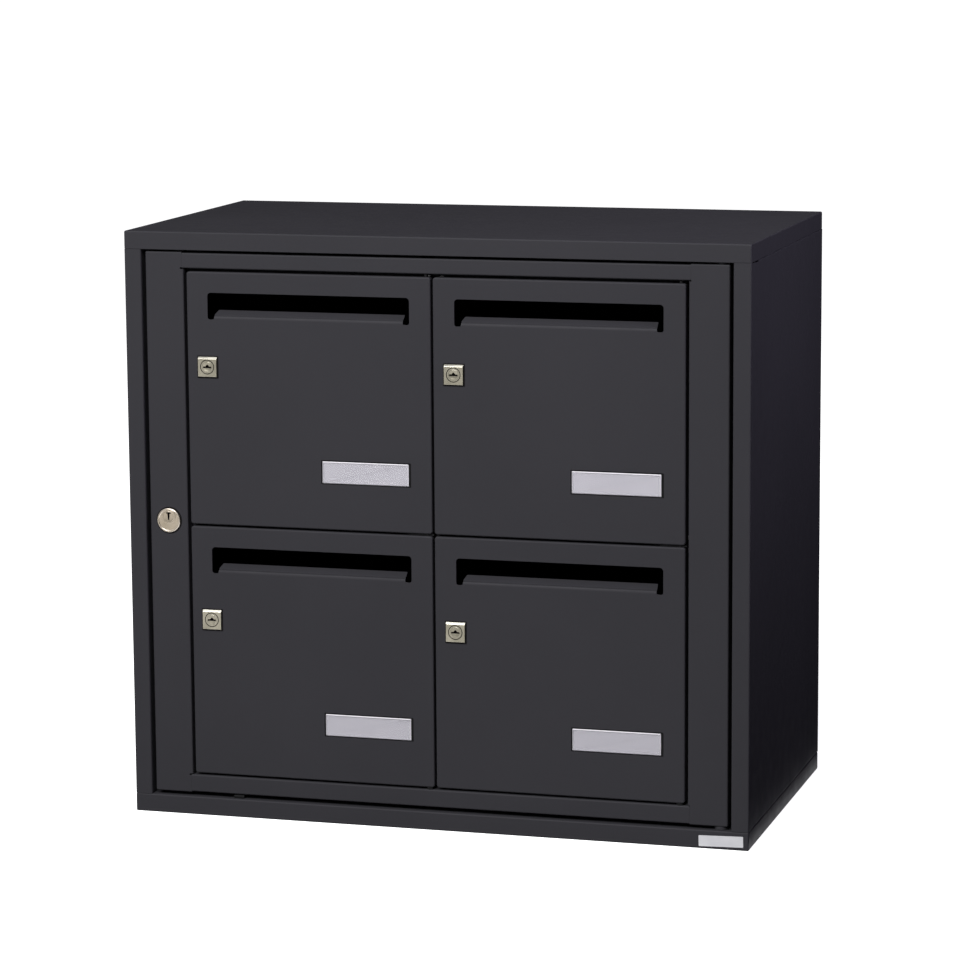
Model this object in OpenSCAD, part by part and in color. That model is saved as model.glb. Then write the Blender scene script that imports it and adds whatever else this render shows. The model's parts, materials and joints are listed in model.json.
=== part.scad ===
// Collective letterbox block: two columns by two rows of locked compartments behind one hinged
// collective front. Folded sheet steel. +X is right, +Y is back, +Z is up. The origin is on the
// ground under the middle of the cabinet, and the front faces -Y.

/* [Cabinet] */
// Overall width
cabinet_w = 700; // [620:10:860]
// Overall height
cabinet_h = 651.5; // [540:0.5:800]
// Overall depth
cabinet_d = 385; // [330:5:480]
// Sheet steel thickness
sheet = 1.2; // [1:0.1:1.5]
// Height of the top cap
cap_h = 20; // [16:0.5:26]
// Height of the base tray
base_h = 20.5; // [16:0.5:26]
// Width of each side panel's front flange
side_flange_w = 19.4; // [18:0.1:24]
// Depth of the return behind each front flange, which the collective cam closes on
strike_depth = 25; // [22:0.5:30]
// Width of the plain folded flanges inside the cabinet
flange_w = 15; // [12:0.5:20]
// Width of the base tray's flanges, which carry its bolt holes
foot_flange_w = 25; // [22:0.5:32]
// Distance from the cabinet's front to the front edges of partition and shelves
inner_setback = 36; // [34:0.5:44]
// Height of the folded edges of a shelf
shelf_edge_h = 12; // [10:0.5:18]

/* [Collective door] */
// How far the door face sits behind the cabinet's front
front_recess = 2.6; // [2.5:0.1:3.5]
// Gap between the collective door and each side flange
side_gap = 4.1; // [3.8:0.1:5]
// Gap above the collective door
top_gap = 2.2; // [1.8:0.1:4]
// Gap below the collective door
bottom_gap = 4; // [3:0.1:5]
// Width of each stile
stile_w = 44; // [40:0.5:56]
// Height of the top rail
top_rail_h = 16.8; // [15:0.1:22]
// Height of the bottom rail
bottom_rail_h = 19.5; // [16:0.1:24]
// How much shorter the rails are than the stiles at top and bottom
rail_step = 1; // [0.6:0.1:1.5]
// Width of the rear lips that stop the compartment doors
lip_w = 12.5; // [11:0.5:13]
// How far the rail reaches past the stile's inner edge
rail_lap = 1.9; // [1.5:0.1:3]
// Visible seam between rail and stile
seam = 0.2; // [0.1:0.05:0.4]
// Width of the mullion and transom strips
strip_w = 28; // [26:0.5:30]
// Thickness of the mullion and transom strips
strip_t = 1.5; // [1.2:0.1:1.6]
// Distance of the collective hinge axis from the door's right edge
main_hinge_in = 8.5; // [8:0.1:9]
// Distance of the collective hinge axis behind the door face
main_hinge_back = 8; // [7.5:0.1:8.2]

/* [Compartment doors] */
// Gap between the outer doors and the stiles
jamb_gap = 3.3; // [3:0.1:4]
// Gap between the two columns of doors
column_gap = 2.4; // [2.2:0.1:3.5]
// Gap between the two rows of doors
row_gap = 2.5; // [2.4:0.1:3.5]
// Gap between the upper doors and the top rail
head_gap = 3.5; // [2.5:0.1:4.5]
// Gap between the lower doors and the bottom rail
sill_gap = 2.5; // [2.2:0.1:4]
// Depth of the folded door edges
door_depth = 13.5; // [12:0.5:16]
// Gap between a door's folded edges and the lips that stop it
door_stop_gap = 3.3; // [2.5:0.1:4]
// Corner radius of a door's outline
door_corner_r = 3; // [1:0.5:5]
// Distance of a door's hinge axis from its right edge
door_hinge_in = 6; // [5.5:0.1:6.2]
// Gap between the frame's face sheet and the heads of the pivot pins behind it
door_hinge_play = 0.1; // [0.05:0.05:0.3]
// Radius of the compartment door pivot pins
door_pin_r = 2; // [1.8:0.1:2.2]
// Radius of the collective door hinge pins
main_pin_r = 3; // [2.5:0.1:3.5]
// Radial running clearance of every pin and lock plug
running_clearance = 0.05; // [0.02:0.01:0.08]

/* [Letter slot] */
// Distance from the ends of the slot to the door's sides
slot_from_side = 24; // [20:0.5:40]
// Height of the letter slot
slot_h = 29; // [26:0.5:34]
// Distance from the door's top edge to the slot
slot_below_top = 22.6; // [20:0.1:40]
// Corner radius of the slot
slot_corner_r = 4; // [2:0.5:6]
// Notch at each end of the folded lower lip
lip_notch_w = 7.5; // [5:0.5:12]
// Length of the folded lower lip
slot_lip_l = 14.5; // [10:0.5:14.5]
// Rise angle of the folded lower lip
slot_lip_angle = 30; // [15:1:35]

/* [Name label] */
// Width of the label's clear window
label_w = 98; // [80:1:105]
// Height of the label's clear window
label_h = 24; // [20:0.5:28]
// Distance from the label to the door's right edge
label_from_right = 26.5; // [24:0.5:40]
// Distance from the label to the door's bottom edge
label_above_bottom = 51.1; // [30:0.1:80]
// Gap between the window and the cut-out in the door
label_gap = 1.25; // [0.8:0.05:2]
// Thickness of the clear window
label_window_t = 1.6; // [1.4:0.1:2]
// Thickness of the name card
label_card_t = 0.4; // [0.3:0.1:0.6]

/* [Locks] */
// Distance from a door's left edge to its lock axis
lock_from_left = 23.3; // [22.5:0.1:28]
// Distance from a door's top edge to its lock axis
lock_below_top = 104; // [95:1:130]
// Side of the square lock face
lock_face_w = 20.8; // [19:0.1:24]
// How far a lock face stands out
lock_proud = 2.5; // [2:0.1:2.5]
// Radius of the compartment lock's threaded body
lock_body_r = 9; // [8:0.1:9]
// Radius of the compartment lock plug
lock_plug_r = 5.75; // [5:0.05:6]
// Wall of the compartment lock's nut at its flats
lock_nut_wall = 2; // [1.5:0.1:3]
// Wall of the collective lock's nut at its flats
master_nut_wall = 3; // [2:0.1:4]
// Reach of a compartment lock's cam
cam_reach = 22; // [18:0.5:22]
// Width of a compartment lock's cam
cam_w = 12; // [10:0.5:14]
// Thickness of the cams
cam_t = 2; // [1.5:0.1:2.5]
// Distance between the mullion strip and the cam behind it
cam_gap = 0.6; // [0.4:0.1:1]
// Radius of the collective lock's round face
master_face_r = 13.65; // [12.5:0.05:15]
// Radius of the collective lock's threaded body
master_body_r = 12; // [11.5:0.1:12.5]
// Radius of the collective lock plug
master_plug_r = 6.5; // [6:0.1:7]
// How far the collective plug sits above the face's centre
master_plug_up = 4; // [0:0.5:4]
// Reach of the collective lock's cam
master_cam_reach = 35; // [31:0.5:38]
// Distance between the side return and the collective cam behind it
master_cam_gap = 1; // [0.6:0.1:1.5]
// Height of the collective lock above the gap between the rows
master_lock_up = 4.25; // [0:0.25:12]

/* [Fastening to wall or stand] */
// Radius of the fixing holes
fix_hole_r = 4.5; // [3:0.5:6]
// Distance of the wall holes from the cabinet's sides
wall_hole_in_x = 100; // [60:5:150]
// Distance of the wall holes from the top and bottom of the back panel
wall_hole_in_z = 55.5; // [30:0.5:90]
// Distance of the base holes from the cabinet's sides
base_hole_in = 50; // [40:5:120]

/* [Hidden] */
$fn = 48;
tiny = 0.01;

// Planes of the cabinet
front_y = -cabinet_d / 2;
back_y = cabinet_d / 2;
side_x = cabinet_w / 2;
cap_z = cabinet_h - cap_h;
flange_x = side_x - side_flange_w;
inner_y = front_y + inner_setback;
rear_y = back_y - 2 * sheet;

// Collective frame
face_y = front_y + front_recess;
frame_depth = door_depth + door_stop_gap + sheet;
frame_x = flange_x - side_gap;
frame_z0 = base_h + bottom_gap;
frame_z1 = cap_z - top_gap;
jamb_x = frame_x - stile_w;
rail_x = jamb_x + rail_lap;
sill_z = frame_z0 + rail_step + bottom_rail_h;
head_z = frame_z1 - rail_step - top_rail_h;
lip_x = jamb_x - lip_w;
lip_back = frame_depth - sheet;
strip_back = frame_depth + strip_t;
main_hinge_x = frame_x - main_hinge_in;
main_hinge_y = face_y + main_hinge_back;

// Compartment doors
door_w = (2 * jamb_x - 2 * jamb_gap - column_gap) / 2;
door_h = (head_z - sill_z - head_gap - row_gap - sill_gap) / 2;
door_x = (door_w + column_gap) / 2;
lower_z = sill_z + sill_gap;
upper_z = lower_z + door_h + row_gap;
mid_z = lower_z + door_h + row_gap / 2;
master_lock_z = mid_z + master_lock_up;
door_pin_x = door_w / 2 - door_hinge_in;
door_pin_head_r = door_pin_r + 1.2;
door_hinge_back = sheet + door_pin_head_r + door_hinge_play;
slot_w = door_w - 2 * slot_from_side;
slot_z = door_h - slot_below_top - slot_h;
label_x = door_w / 2 - label_from_right - label_w / 2;
label_z = label_above_bottom + label_h / 2;
lock_x = lock_from_left - door_w / 2;
lock_z = door_h - lock_below_top;

// Name, centre x and bottom z of each compartment door
DOORS = [
    ["upper_left", -door_x, upper_z],
    ["upper_right", door_x, upper_z],
    ["lower_left", -door_x, lower_z],
    ["lower_right", door_x, lower_z]
];
COLUMNS = [-door_x, door_x];

// Shelf, pins and small hardware
shelf_z = mid_z - sheet / 2;
rivet_r = 2;
rivet_head_r = 3.5;
rivet_head_t = 1;
rivet_bulb_r = 3;
rivet_bulb_t = 1.5;
shelf_rivet_z = mid_z - shelf_edge_h / 2 - 1;
SHELF_RIVET_YS = [inner_y + 40, 0, rear_y - 40];
pin_head_t = 1.5;
door_pin_l = 5;
main_pin_l = 12;
bush_r = main_pin_r + 1.2;
bush_play = 0.1;
bracket_t = 1.5;
bracket_w = 18;
bracket_h = 24;
bracket_offset = 4;
bracket_tip = 7;
bracket_front = 3;
tab_l = 16;
relief_r = 1.2;
glide_w = 12;
glide_from_left = 121;
plate_w = 48.8;
plate_h = 12;
plate_t = 0.2;
plate_tilt = 1.5;
holder_margin = 6;
nut_t = 4;
washer_r = 4;
screw_head_r = 5.5;
screw_head_t = 2;
screw_r = 2;
screw_l = 8;
screw_play = 0.02;
cam_hub_r = 8;
groove_r = 7.5;
groove_w = 0.5;
key_depth = 4;

// Cam planes, measured behind the door face
cam_back = strip_back + cam_gap;
master_cam_back = strike_depth - front_recess + master_cam_gap;

DOOR_PIECES = [
    "door_panel", "lock_body", "lock_nut", "lock_plug", "lock_cam",
    "label_holder", "label_card", "label_window"
];

PAINT = [0.22, 0.22, 0.24];
ZINC = [0.62, 0.63, 0.65];
NICKEL = [0.68, 0.66, 0.6];
BLACK_PLASTIC = [0.08, 0.08, 0.09];

// ---- Shared shapes ----

// Box between two opposite corners
module block(low, high) {
    translate(low) cube(high - low);
}

// Cylinder along +Y from y0 to y1
module rod_y(r, y0, y1) {
    translate([0, y0, 0]) rotate([-90, 0, 0]) cylinder(r = r, h = y1 - y0);
}

// Cylinder along +X from x0 to x1
module rod_x(r, x0, x1) {
    translate([x0, 0, 0]) rotate([0, 90, 0]) cylinder(r = r, h = x1 - x0);
}

// Cylinder along +Z from z0 to z1
module rod_z(r, z0, z1) {
    translate([0, 0, z0]) cylinder(r = r, h = z1 - z0);
}

// Outline drawn in X and Z, given a thickness from y0 back to y1
module slab(y0, y1) {
    translate([0, y1, 0]) rotate([90, 0, 0]) linear_extrude(y1 - y0) children();
}

// Rectangle centred on the origin with round corners
module rounded_rectangle(w, h, r) {
    square([w, h - 2 * r], center = true);
    square([w - 2 * r, h], center = true);
    for (sx = [-1, 1], sz = [-1, 1]) {
        translate([sx * (w / 2 - r), sz * (h / 2 - r)]) circle(r);
    }
}

// Same shape on both sides of the YZ plane, or only on the side asked for
module on_side(side) {
    if (side > 0) children();
    else mirror([1, 0, 0]) children();
}

// Blind rivet along +Y: head in front of y0, bulb behind y1
module rivet_y(y0, y1) {
    rod_y(rivet_head_r, y0 - rivet_head_t, y0);
    rod_y(rivet_r, y0 - tiny, y1 + tiny);
    rod_y(rivet_bulb_r, y1, y1 + rivet_bulb_t);
}

// ---- Cabinet ----

module top_panel() {
    color(PAINT) difference() {
        block([-side_x, front_y, cap_z], [side_x, back_y, cabinet_h]);
        block(
            [-side_x + sheet, front_y + sheet, cap_z + sheet],
            [side_x - sheet, back_y - sheet, cabinet_h - sheet]
        );
        block(
            [-side_x + flange_w, front_y + foot_flange_w, cap_z - sheet],
            [side_x - flange_w, back_y - flange_w, cap_z + 2 * sheet]
        );
        translate([main_hinge_x, main_hinge_y, 0]) rod_z(main_pin_r, cap_z - sheet, cap_z + 2 * sheet);
    }
}

module base_panel() {
    foot_y = back_y - foot_flange_w / 2;
    color(PAINT) difference() {
        block([-side_x, front_y, 0], [side_x, back_y, base_h]);
        block(
            [-side_x + sheet, front_y + sheet, sheet],
            [side_x - sheet, back_y - sheet, base_h - sheet]
        );
        block(
            [-side_x + foot_flange_w, front_y + foot_flange_w, -sheet],
            [side_x - foot_flange_w, back_y - foot_flange_w, 2 * sheet]
        );
        for (sx = [-1, 1], sy = [-1, 1]) {
            translate([sx * (side_x - base_hole_in), sy * foot_y, 0]) rod_z(fix_hole_r, -sheet, 2 * sheet);
        }
        translate([main_hinge_x, main_hinge_y, 0]) {
            rod_z(main_pin_r, base_h - 2 * sheet, base_h + sheet);
        }
    }
}

module side_panel(side) {
    color(PAINT) on_side(side) {
        block([side_x - sheet, front_y, base_h], [side_x, back_y - sheet, cap_z]);
        block([flange_x, front_y, base_h], [side_x, front_y + sheet, cap_z]);
        block([flange_x, front_y, base_h], [flange_x + sheet, front_y + strike_depth, cap_z]);
        block([side_x - flange_w, rear_y, base_h], [side_x, back_y - sheet, cap_z]);
        for (z = [base_h, cap_z - sheet]) {
            block([side_x - flange_w, inner_y, z], [side_x, back_y - sheet, z + sheet]);
        }
    }
}

module left_side_panel() {
    side_panel(-1);
}

module right_side_panel() {
    side_panel(1);
}

module back_panel() {
    color(PAINT) difference() {
        block([-side_x, back_y - sheet, base_h], [side_x, back_y, cap_z]);
        for (sx = [-1, 1], z = [base_h + wall_hole_in_z, cap_z - wall_hole_in_z]) {
            translate([sx * (side_x - wall_hole_in_x), 0, z]) {
                rod_y(fix_hole_r, back_y - 2 * sheet, back_y + sheet);
            }
        }
    }
}

module shelf_rivet_places() {
    for (y = SHELF_RIVET_YS) {
        translate([0, y, shelf_rivet_z]) children();
    }
}

module centre_partition() {
    half = sheet / 2;
    notch_y = back_y - flange_w - 4;
    color(PAINT) difference() {
        union() {
            block([-half, inner_y, base_h], [half, back_y - sheet, cap_z - sheet]);
            block([-half, inner_y, base_h], [half, notch_y, cabinet_h - sheet]);
            block([-half, rear_y, base_h], [flange_w, back_y - sheet, cap_z - sheet]);
            block([-half, inner_y, base_h], [flange_w, back_y - sheet, base_h + sheet]);
            block([-half, inner_y, cabinet_h - 2 * sheet], [flange_w, notch_y, cabinet_h - sheet]);
        }
        shelf_rivet_places() rod_x(rivet_r, -sheet, sheet);
    }
}

module shelf(side) {
    half = sheet / 2;
    low_z = shelf_z + sheet - shelf_edge_h;
    color(PAINT) difference() {
        on_side(side) difference() {
            block([half, inner_y, low_z], [side_x - sheet, rear_y, shelf_z + sheet]);
            block(
                [half + sheet, inner_y + sheet, low_z - sheet],
                [side_x - 2 * sheet, rear_y - sheet, shelf_z]
            );
        }
        shelf_rivet_places() rod_x(rivet_r, -3 * sheet, 3 * sheet);
    }
}

module left_shelf() {
    shelf(-1);
}

module right_shelf() {
    shelf(1);
}

module shelf_rivets() {
    grip = 1.5 * sheet;
    color(ZINC) shelf_rivet_places() {
        rod_x(rivet_head_r, -grip - rivet_head_t, -grip);
        rod_x(rivet_r, -grip - tiny, grip + tiny);
        rod_x(rivet_bulb_r, grip, grip + rivet_bulb_t);
    }
}

module collective_hinge_pins() {
    head_r = main_pin_r + 1.5;
    color(ZINC) translate([main_hinge_x, main_hinge_y, 0]) {
        rod_z(main_pin_r, frame_z1 - main_pin_l, cap_z + sheet + tiny);
        rod_z(head_r, cap_z + sheet, cap_z + sheet + pin_head_t);
        rod_z(main_pin_r, base_h - sheet - tiny, frame_z0 + main_pin_l);
        rod_z(head_r, base_h - sheet - pin_head_t, base_h - sheet);
    }
}

module collective_hinge_bushes() {
    top_h = top_gap - bush_play;
    base_bush_h = bottom_gap - bush_play;
    color(ZINC) translate([main_hinge_x, main_hinge_y, 0]) {
        difference() {
            translate([0, 0, cap_z - top_h]) cylinder(r1 = bush_r - 0.4, r2 = bush_r, h = top_h);
            rod_z(main_pin_r, cap_z - top_h - 1, cap_z + 1);
        }
        difference() {
            translate([0, 0, base_h]) cylinder(r1 = bush_r + 0.6, r2 = bush_r, h = base_bush_h);
            rod_z(main_pin_r, base_h - 1, base_h + base_bush_h + 1);
        }
    }
}

// Nylon pad on the base tray that the bottom rail closes over
module glide_pad() {
    glide_h = bottom_gap + rail_step - 0.4;
    chamfer = 2;
    color(BLACK_PLASTIC) translate([glide_from_left - side_x - glide_w / 2, front_y + 4, base_h]) {
        rotate([90, 0, 90]) linear_extrude(glide_w) {
            polygon([
                [0, 0], [14, 0], [14, glide_h], [chamfer, glide_h], [0, glide_h - chamfer]
            ]);
        }
    }
}

// Bare sticker on the front of the base tray
module blank_plate() {
    plate_x = side_x - 6 - plate_w / 2;
    color(ZINC) translate([plate_x, 0, base_h / 2 - 1]) rotate([0, -plate_tilt, 0]) {
        slab(front_y - plate_t, front_y) rounded_rectangle(plate_w, plate_h, 1);
    }
}

// ---- Collective door ----

module stile(side) {
    color(PAINT) on_side(side) difference() {
        union() {
            block([jamb_x, face_y, frame_z0], [frame_x, face_y + sheet, frame_z1]);
            block([frame_x - sheet, face_y, frame_z0], [frame_x, face_y + frame_depth, frame_z1]);
            block([jamb_x, face_y, sill_z], [jamb_x + sheet, face_y + frame_depth, head_z]);
            block(
                [lip_x, face_y + lip_back, sill_z],
                [jamb_x + sheet, face_y + frame_depth, head_z]
            );
            for (z = [frame_z0, frame_z1 - sheet]) {
                block([rail_x, face_y, z], [frame_x, face_y + frame_depth, z + sheet]);
            }
        }
        for (z0_z1 = [[frame_z0 - 1, sill_z], [head_z, frame_z1 + 1]]) {
            block([jamb_x - 1, face_y - 1, z0_z1[0]], [rail_x, face_y + 2 * sheet, z0_z1[1]]);
        }
        for (z = [sill_z, head_z]) {
            translate([rail_x - relief_r / 2, 0, z]) rod_y(relief_r, face_y - 1, face_y + sheet);
        }
        if (side > 0) {
            translate([main_hinge_x, main_hinge_y, 0]) {
                rod_z(main_pin_r + running_clearance, frame_z0 - 1, frame_z0 + 2 * sheet);
                rod_z(main_pin_r + running_clearance, frame_z1 - 2 * sheet, frame_z1 + 1);
            }
        }
        if (side < 0) {
            translate([master_axis_x(), 0, master_lock_z]) {
                rod_y(master_body_r, face_y - 1, face_y + 2 * sheet);
            }
        }
        for (dz = [-1, 1]) {
            translate([transom_rivet_x(), 0, mid_z + dz * strip_w / 4]) {
                rod_y(rivet_r, face_y + lip_back - 1, face_y + frame_depth + 1);
            }
        }
    }
}

// Distances from the middle of the block to the collective lock and to the strip rivets
function master_axis_x() = frame_x - stile_w / 2;
function transom_rivet_x() = jamb_x - lip_w / 2;

module left_stile() {
    stile(-1);
}

module right_stile() {
    stile(1);
}

// Rail between z0 (its door side) and z1 (its outer side), with the lip on the door side
module rail(z0, z1) {
    up = z1 > z0 ? 1 : -1;
    face_w = rail_x - seam;
    color(PAINT) translate([0, face_y, z0]) scale([1, 1, up]) difference() {
        union() {
            block([-face_w, 0, 0], [face_w, sheet, abs(z1 - z0)]);
            block([-face_w, 0, abs(z1 - z0) - sheet], [face_w, frame_depth, abs(z1 - z0)]);
            block([-face_w, 0, 0], [face_w, frame_depth, sheet]);
            block([-lip_x, lip_back, -lip_w], [lip_x, frame_depth, sheet]);
            for (sx = [-1, 1]) {
                translate([sx * rail_x, 0, 0]) {
                    block([-tab_l / 2, sheet, 2 * sheet], [tab_l / 2, 2 * sheet, abs(z1 - z0) - 2 * sheet]);
                }
            }
        }
        for (x = COLUMNS) {
            translate([x + door_pin_x, door_hinge_back, 0]) rod_z(door_pin_r, -1, 2 * sheet);
        }
        for (sx = [-1, 1]) {
            translate([sx * strip_w / 4, 0, -lip_w / 2]) rod_y(rivet_r, lip_back - 1, frame_depth + 1);
        }
    }
}

module top_rail() {
    rail(head_z, frame_z1 - rail_step);
}

module bottom_rail() {
    rail(sill_z, frame_z0 + rail_step);
}

module bracket_rivet_places() {
    for (x = COLUMNS, dz = [-1, 1]) {
        translate([x + door_pin_x - bracket_offset - bracket_w / 2, face_y, mid_z + dz * strip_w / 4]) {
            children();
        }
    }
}

module transom_rivet_places() {
    for (sx = [-1, 1], dz = [-1, 1]) {
        translate([sx * transom_rivet_x(), face_y, mid_z + dz * strip_w / 4]) children();
    }
}

module mullion_rivet_places() {
    for (sx = [-1, 1], z = [sill_z + lip_w / 2, head_z - lip_w / 2]) {
        translate([sx * strip_w / 4, face_y, z]) children();
    }
}

module rivet_holes() {
    bracket_rivet_places() rod_y(rivet_r, lip_back - 1, strip_back + 1);
    transom_rivet_places() rod_y(rivet_r, lip_back - 1, strip_back + 1);
    mullion_rivet_places() rod_y(rivet_r, lip_back - 1, strip_back + 1);
}

module centre_mullion() {
    color(PAINT) difference() {
        block(
            [-strip_w / 2, face_y + frame_depth, sill_z + 1],
            [strip_w / 2, face_y + strip_back, head_z - 1]
        );
        rivet_holes();
    }
}

module centre_transoms() {
    color(PAINT) difference() {
        for (side = [-1, 1]) {
            on_side(side) block(
                [strip_w / 2, face_y + frame_depth, mid_z - strip_w / 2],
                [jamb_x - 1, face_y + strip_back, mid_z + strip_w / 2]
            );
        }
        rivet_holes();
    }
}

// Angle bracket at each column's middle pivot: a leaf between the rows and a leaf on the strips
module door_pivot_brackets() {
    color(ZINC) difference() {
        for (x = COLUMNS) {
            translate([x + door_pin_x, face_y, mid_z]) {
                block(
                    [-bracket_offset - bracket_w, lip_back, -bracket_h / 2],
                    [-bracket_offset, frame_depth, bracket_h / 2]
                );
                block(
                    [-bracket_offset - bracket_w, bracket_front, -bracket_t / 2],
                    [-bracket_offset, frame_depth, bracket_t / 2]
                );
                block(
                    [-bracket_offset - bracket_w, bracket_front, -bracket_t / 2],
                    [bracket_tip, door_depth, bracket_t / 2]
                );
            }
        }
        for (x = COLUMNS) {
            translate([x + door_pin_x, face_y + door_hinge_back, 0]) {
                rod_z(door_pin_r, mid_z - bracket_t, mid_z + bracket_t);
            }
        }
        rivet_holes();
    }
}

module door_pivot_pins() {
    head_r = door_pin_head_r;
    color(ZINC) for (x = COLUMNS) {
        translate([x + door_pin_x, face_y + door_hinge_back, 0]) {
            rod_z(door_pin_r, head_z - head_gap - door_pin_l, head_z + sheet + tiny);
            rod_z(head_r, head_z + sheet, head_z + sheet + pin_head_t);
            rod_z(door_pin_r, mid_z - row_gap / 2 - door_pin_l, mid_z + row_gap / 2 + door_pin_l);
            rod_z(door_pin_r, sill_z - sheet - tiny, sill_z + sill_gap + door_pin_l);
            rod_z(head_r, sill_z - sheet - pin_head_t, sill_z - sheet);
        }
    }
}

module door_pivot_washers() {
    color(BLACK_PLASTIC) for (x = COLUMNS) {
        translate([x + door_pin_x, face_y + door_hinge_back, 0]) difference() {
            rod_z(washer_r, sill_z, sill_z + sill_gap - bush_play);
            rod_z(door_pin_r, sill_z - 1, sill_z + sill_gap + 1);
        }
    }
}

module frame_rivets() {
    color(ZINC) {
        bracket_rivet_places() rivet_y(lip_back, strip_back);
        transom_rivet_places() rivet_y(lip_back, strip_back);
        mullion_rivet_places() rivet_y(lip_back, strip_back);
    }
}

// ---- Collective lock ----

module at_master_lock() {
    translate([-master_axis_x(), face_y, master_lock_z]) children();
}

module master_lock_body() {
    rim_w = 1.2;
    color(NICKEL) at_master_lock() difference() {
        union() {
            translate([0, -lock_proud, 0]) rotate([-90, 0, 0]) {
                cylinder(r1 = master_face_r - 0.8, r2 = master_face_r, h = 0.8);
            }
            rod_y(master_face_r, 0.8 - lock_proud, 0);
            rod_y(master_body_r, -tiny, frame_depth);
        }
        difference() {
            rod_y(master_face_r - rim_w - 0.8, -lock_proud - 1, 0.5 - lock_proud);
            translate([0, 0, master_plug_up]) {
                rod_y(master_plug_r + 1.4, -lock_proud - 2, lock_proud);
            }
        }
        translate([0, 0, master_plug_up]) {
            rod_y(master_plug_r + running_clearance, -lock_proud - 1, frame_depth + 1);
        }
    }
}

// Hexagonal nut behind a sheet, on a threaded body of radius r, with a flat at each side
module nut(r, wall) {
    difference() {
        rotate([-90, 30, 0]) translate([0, 0, sheet]) {
            cylinder(r = 2 * (r + wall) / sqrt(3), h = nut_t, $fn = 6);
        }
        rod_y(r, 0, nut_t + 2 * sheet);
    }
}

module master_lock_nut() {
    color(ZINC) at_master_lock() nut(master_body_r, master_nut_wall);
}

// Plug of radius r from the lock's face to its cam, with a square shank through the cam
module plug(r, cam_y) {
    shank = 1.2 * r;
    difference() {
        union() {
            rod_y(r, -lock_proud, cam_y);
            block([-shank / 2, cam_y - tiny, -shank / 2], [shank / 2, cam_y + cam_t, shank / 2]);
        }
        rod_y(screw_r, cam_y + cam_t - screw_l, cam_y + cam_t + 1);
        translate([0, -lock_proud, 0]) children();
    }
}

module master_lock_plug() {
    color(NICKEL) at_master_lock() translate([0, 0, master_plug_up]) {
        plug(master_plug_r, master_cam_back) {
            block([-0.8, -1, -4.5], [0.8, key_depth, 3.5]);
            block([-2.2, -1, 2.2], [2.2, key_depth, 3.5]);
        }
    }
}

// Cam that hangs down from its axis, with its screw, for a plug of radius r
module cam(r, cam_y, reach, width) {
    shank = 1.2 * r;
    difference() {
        union() {
            rod_y(cam_hub_r, cam_y, cam_y + cam_t);
            block([-width / 2, cam_y, -reach + 3], [width / 2, cam_y + cam_t, 0]);
            block([-width / 2 + 3, cam_y, -reach], [width / 2 - 3, cam_y + cam_t, 0]);
            for (sx = [-1, 1]) {
                translate([sx * (width / 2 - 3), 0, -reach + 3]) rod_y(3, cam_y, cam_y + cam_t);
            }
        }
        block([-shank / 2, cam_y - 1, -shank / 2], [shank / 2, cam_y + cam_t + 1, shank / 2]);
    }
    translate([0, cam_y + cam_t + screw_play, 0]) difference() {
        union() {
            rod_y(screw_head_r, 0, screw_head_t);
            rod_y(screw_r, 0.5 - screw_l, tiny);
        }
        for (turn = [0, 90]) {
            rotate([0, turn, 0]) block([-0.6, 1, -3], [0.6, screw_head_t + 1, 3]);
        }
    }
}

module master_lock_cam() {
    color(ZINC) at_master_lock() translate([0, 0, master_plug_up]) {
        cam(master_plug_r, master_cam_back, master_cam_reach, cam_w + 2);
    }
}

// ---- Compartment doors ----

module at_door(door) {
    translate([door[1], face_y, door[2]]) children();
}

module at_lock(door) {
    at_door(door) translate([lock_x, 0, lock_z]) children();
}

// Lower lip of the slot, folded in and up, in the door's own frame
module slot_lip() {
    half = slot_w / 2 - lip_notch_w;
    run = slot_lip_l * cos(slot_lip_angle);
    rise = slot_lip_l * sin(slot_lip_angle);
    under = sheet * (1 - sin(slot_lip_angle)) / cos(slot_lip_angle);
    translate([-half, 0, slot_z]) rotate([90, 0, 90]) linear_extrude(2 * half) {
        polygon([
            [0, -sheet], [0, 0], [run, rise],
            [run + sheet * sin(slot_lip_angle), rise - sheet * cos(slot_lip_angle)],
            [sheet, -under], [sheet, -sheet]
        ]);
    }
}

module door_panel(door) {
    cut_w = label_w + 2 * label_gap;
    cut_h = label_h + 2 * label_gap;
    color(PAINT) at_door(door) difference() {
        union() {
            difference() {
                slab(0, door_depth) {
                    translate([0, door_h / 2]) rounded_rectangle(door_w, door_h, door_corner_r);
                }
                slab(sheet, door_depth + 1) translate([0, door_h / 2]) {
                    rounded_rectangle(door_w - 2 * sheet, door_h - 2 * sheet, door_corner_r - sheet / 2);
                }
                slab(-1, sheet + 1) translate([0, slot_z + slot_h / 2]) {
                    rounded_rectangle(slot_w, slot_h, slot_corner_r);
                }
            }
            slot_lip();
        }
        slab(-1, 2 * sheet) translate([label_x, label_z]) rounded_rectangle(cut_w, cut_h, 1);
        translate([lock_x, 0, lock_z]) rod_y(lock_body_r, -1, 2 * sheet);
        translate([door_pin_x, door_hinge_back, 0]) {
            rod_z(door_pin_r + running_clearance, -1, 2 * sheet);
            rod_z(door_pin_r + running_clearance, door_h - 2 * sheet, door_h + 1);
        }
    }
}

module lock_body(door) {
    half = lock_face_w / 2;
    bevel = 1.6;
    color(NICKEL) at_lock(door) difference() {
        union() {
            hull() {
                block([-half, -0.6, -half], [half, 0, half]);
                block([bevel - half, -lock_proud, bevel - half], [half - bevel, 0, half - bevel]);
            }
            rod_y(lock_body_r, -tiny, frame_depth);
        }
        difference() {
            rod_y(groove_r, -lock_proud - 1, groove_w - lock_proud);
            rod_y(groove_r - groove_w, -lock_proud - 2, lock_proud);
        }
        rod_y(lock_plug_r + running_clearance, -lock_proud - 1, frame_depth + 1);
    }
}

module lock_nut(door) {
    color(ZINC) at_lock(door) nut(lock_body_r, lock_nut_wall);
}

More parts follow.
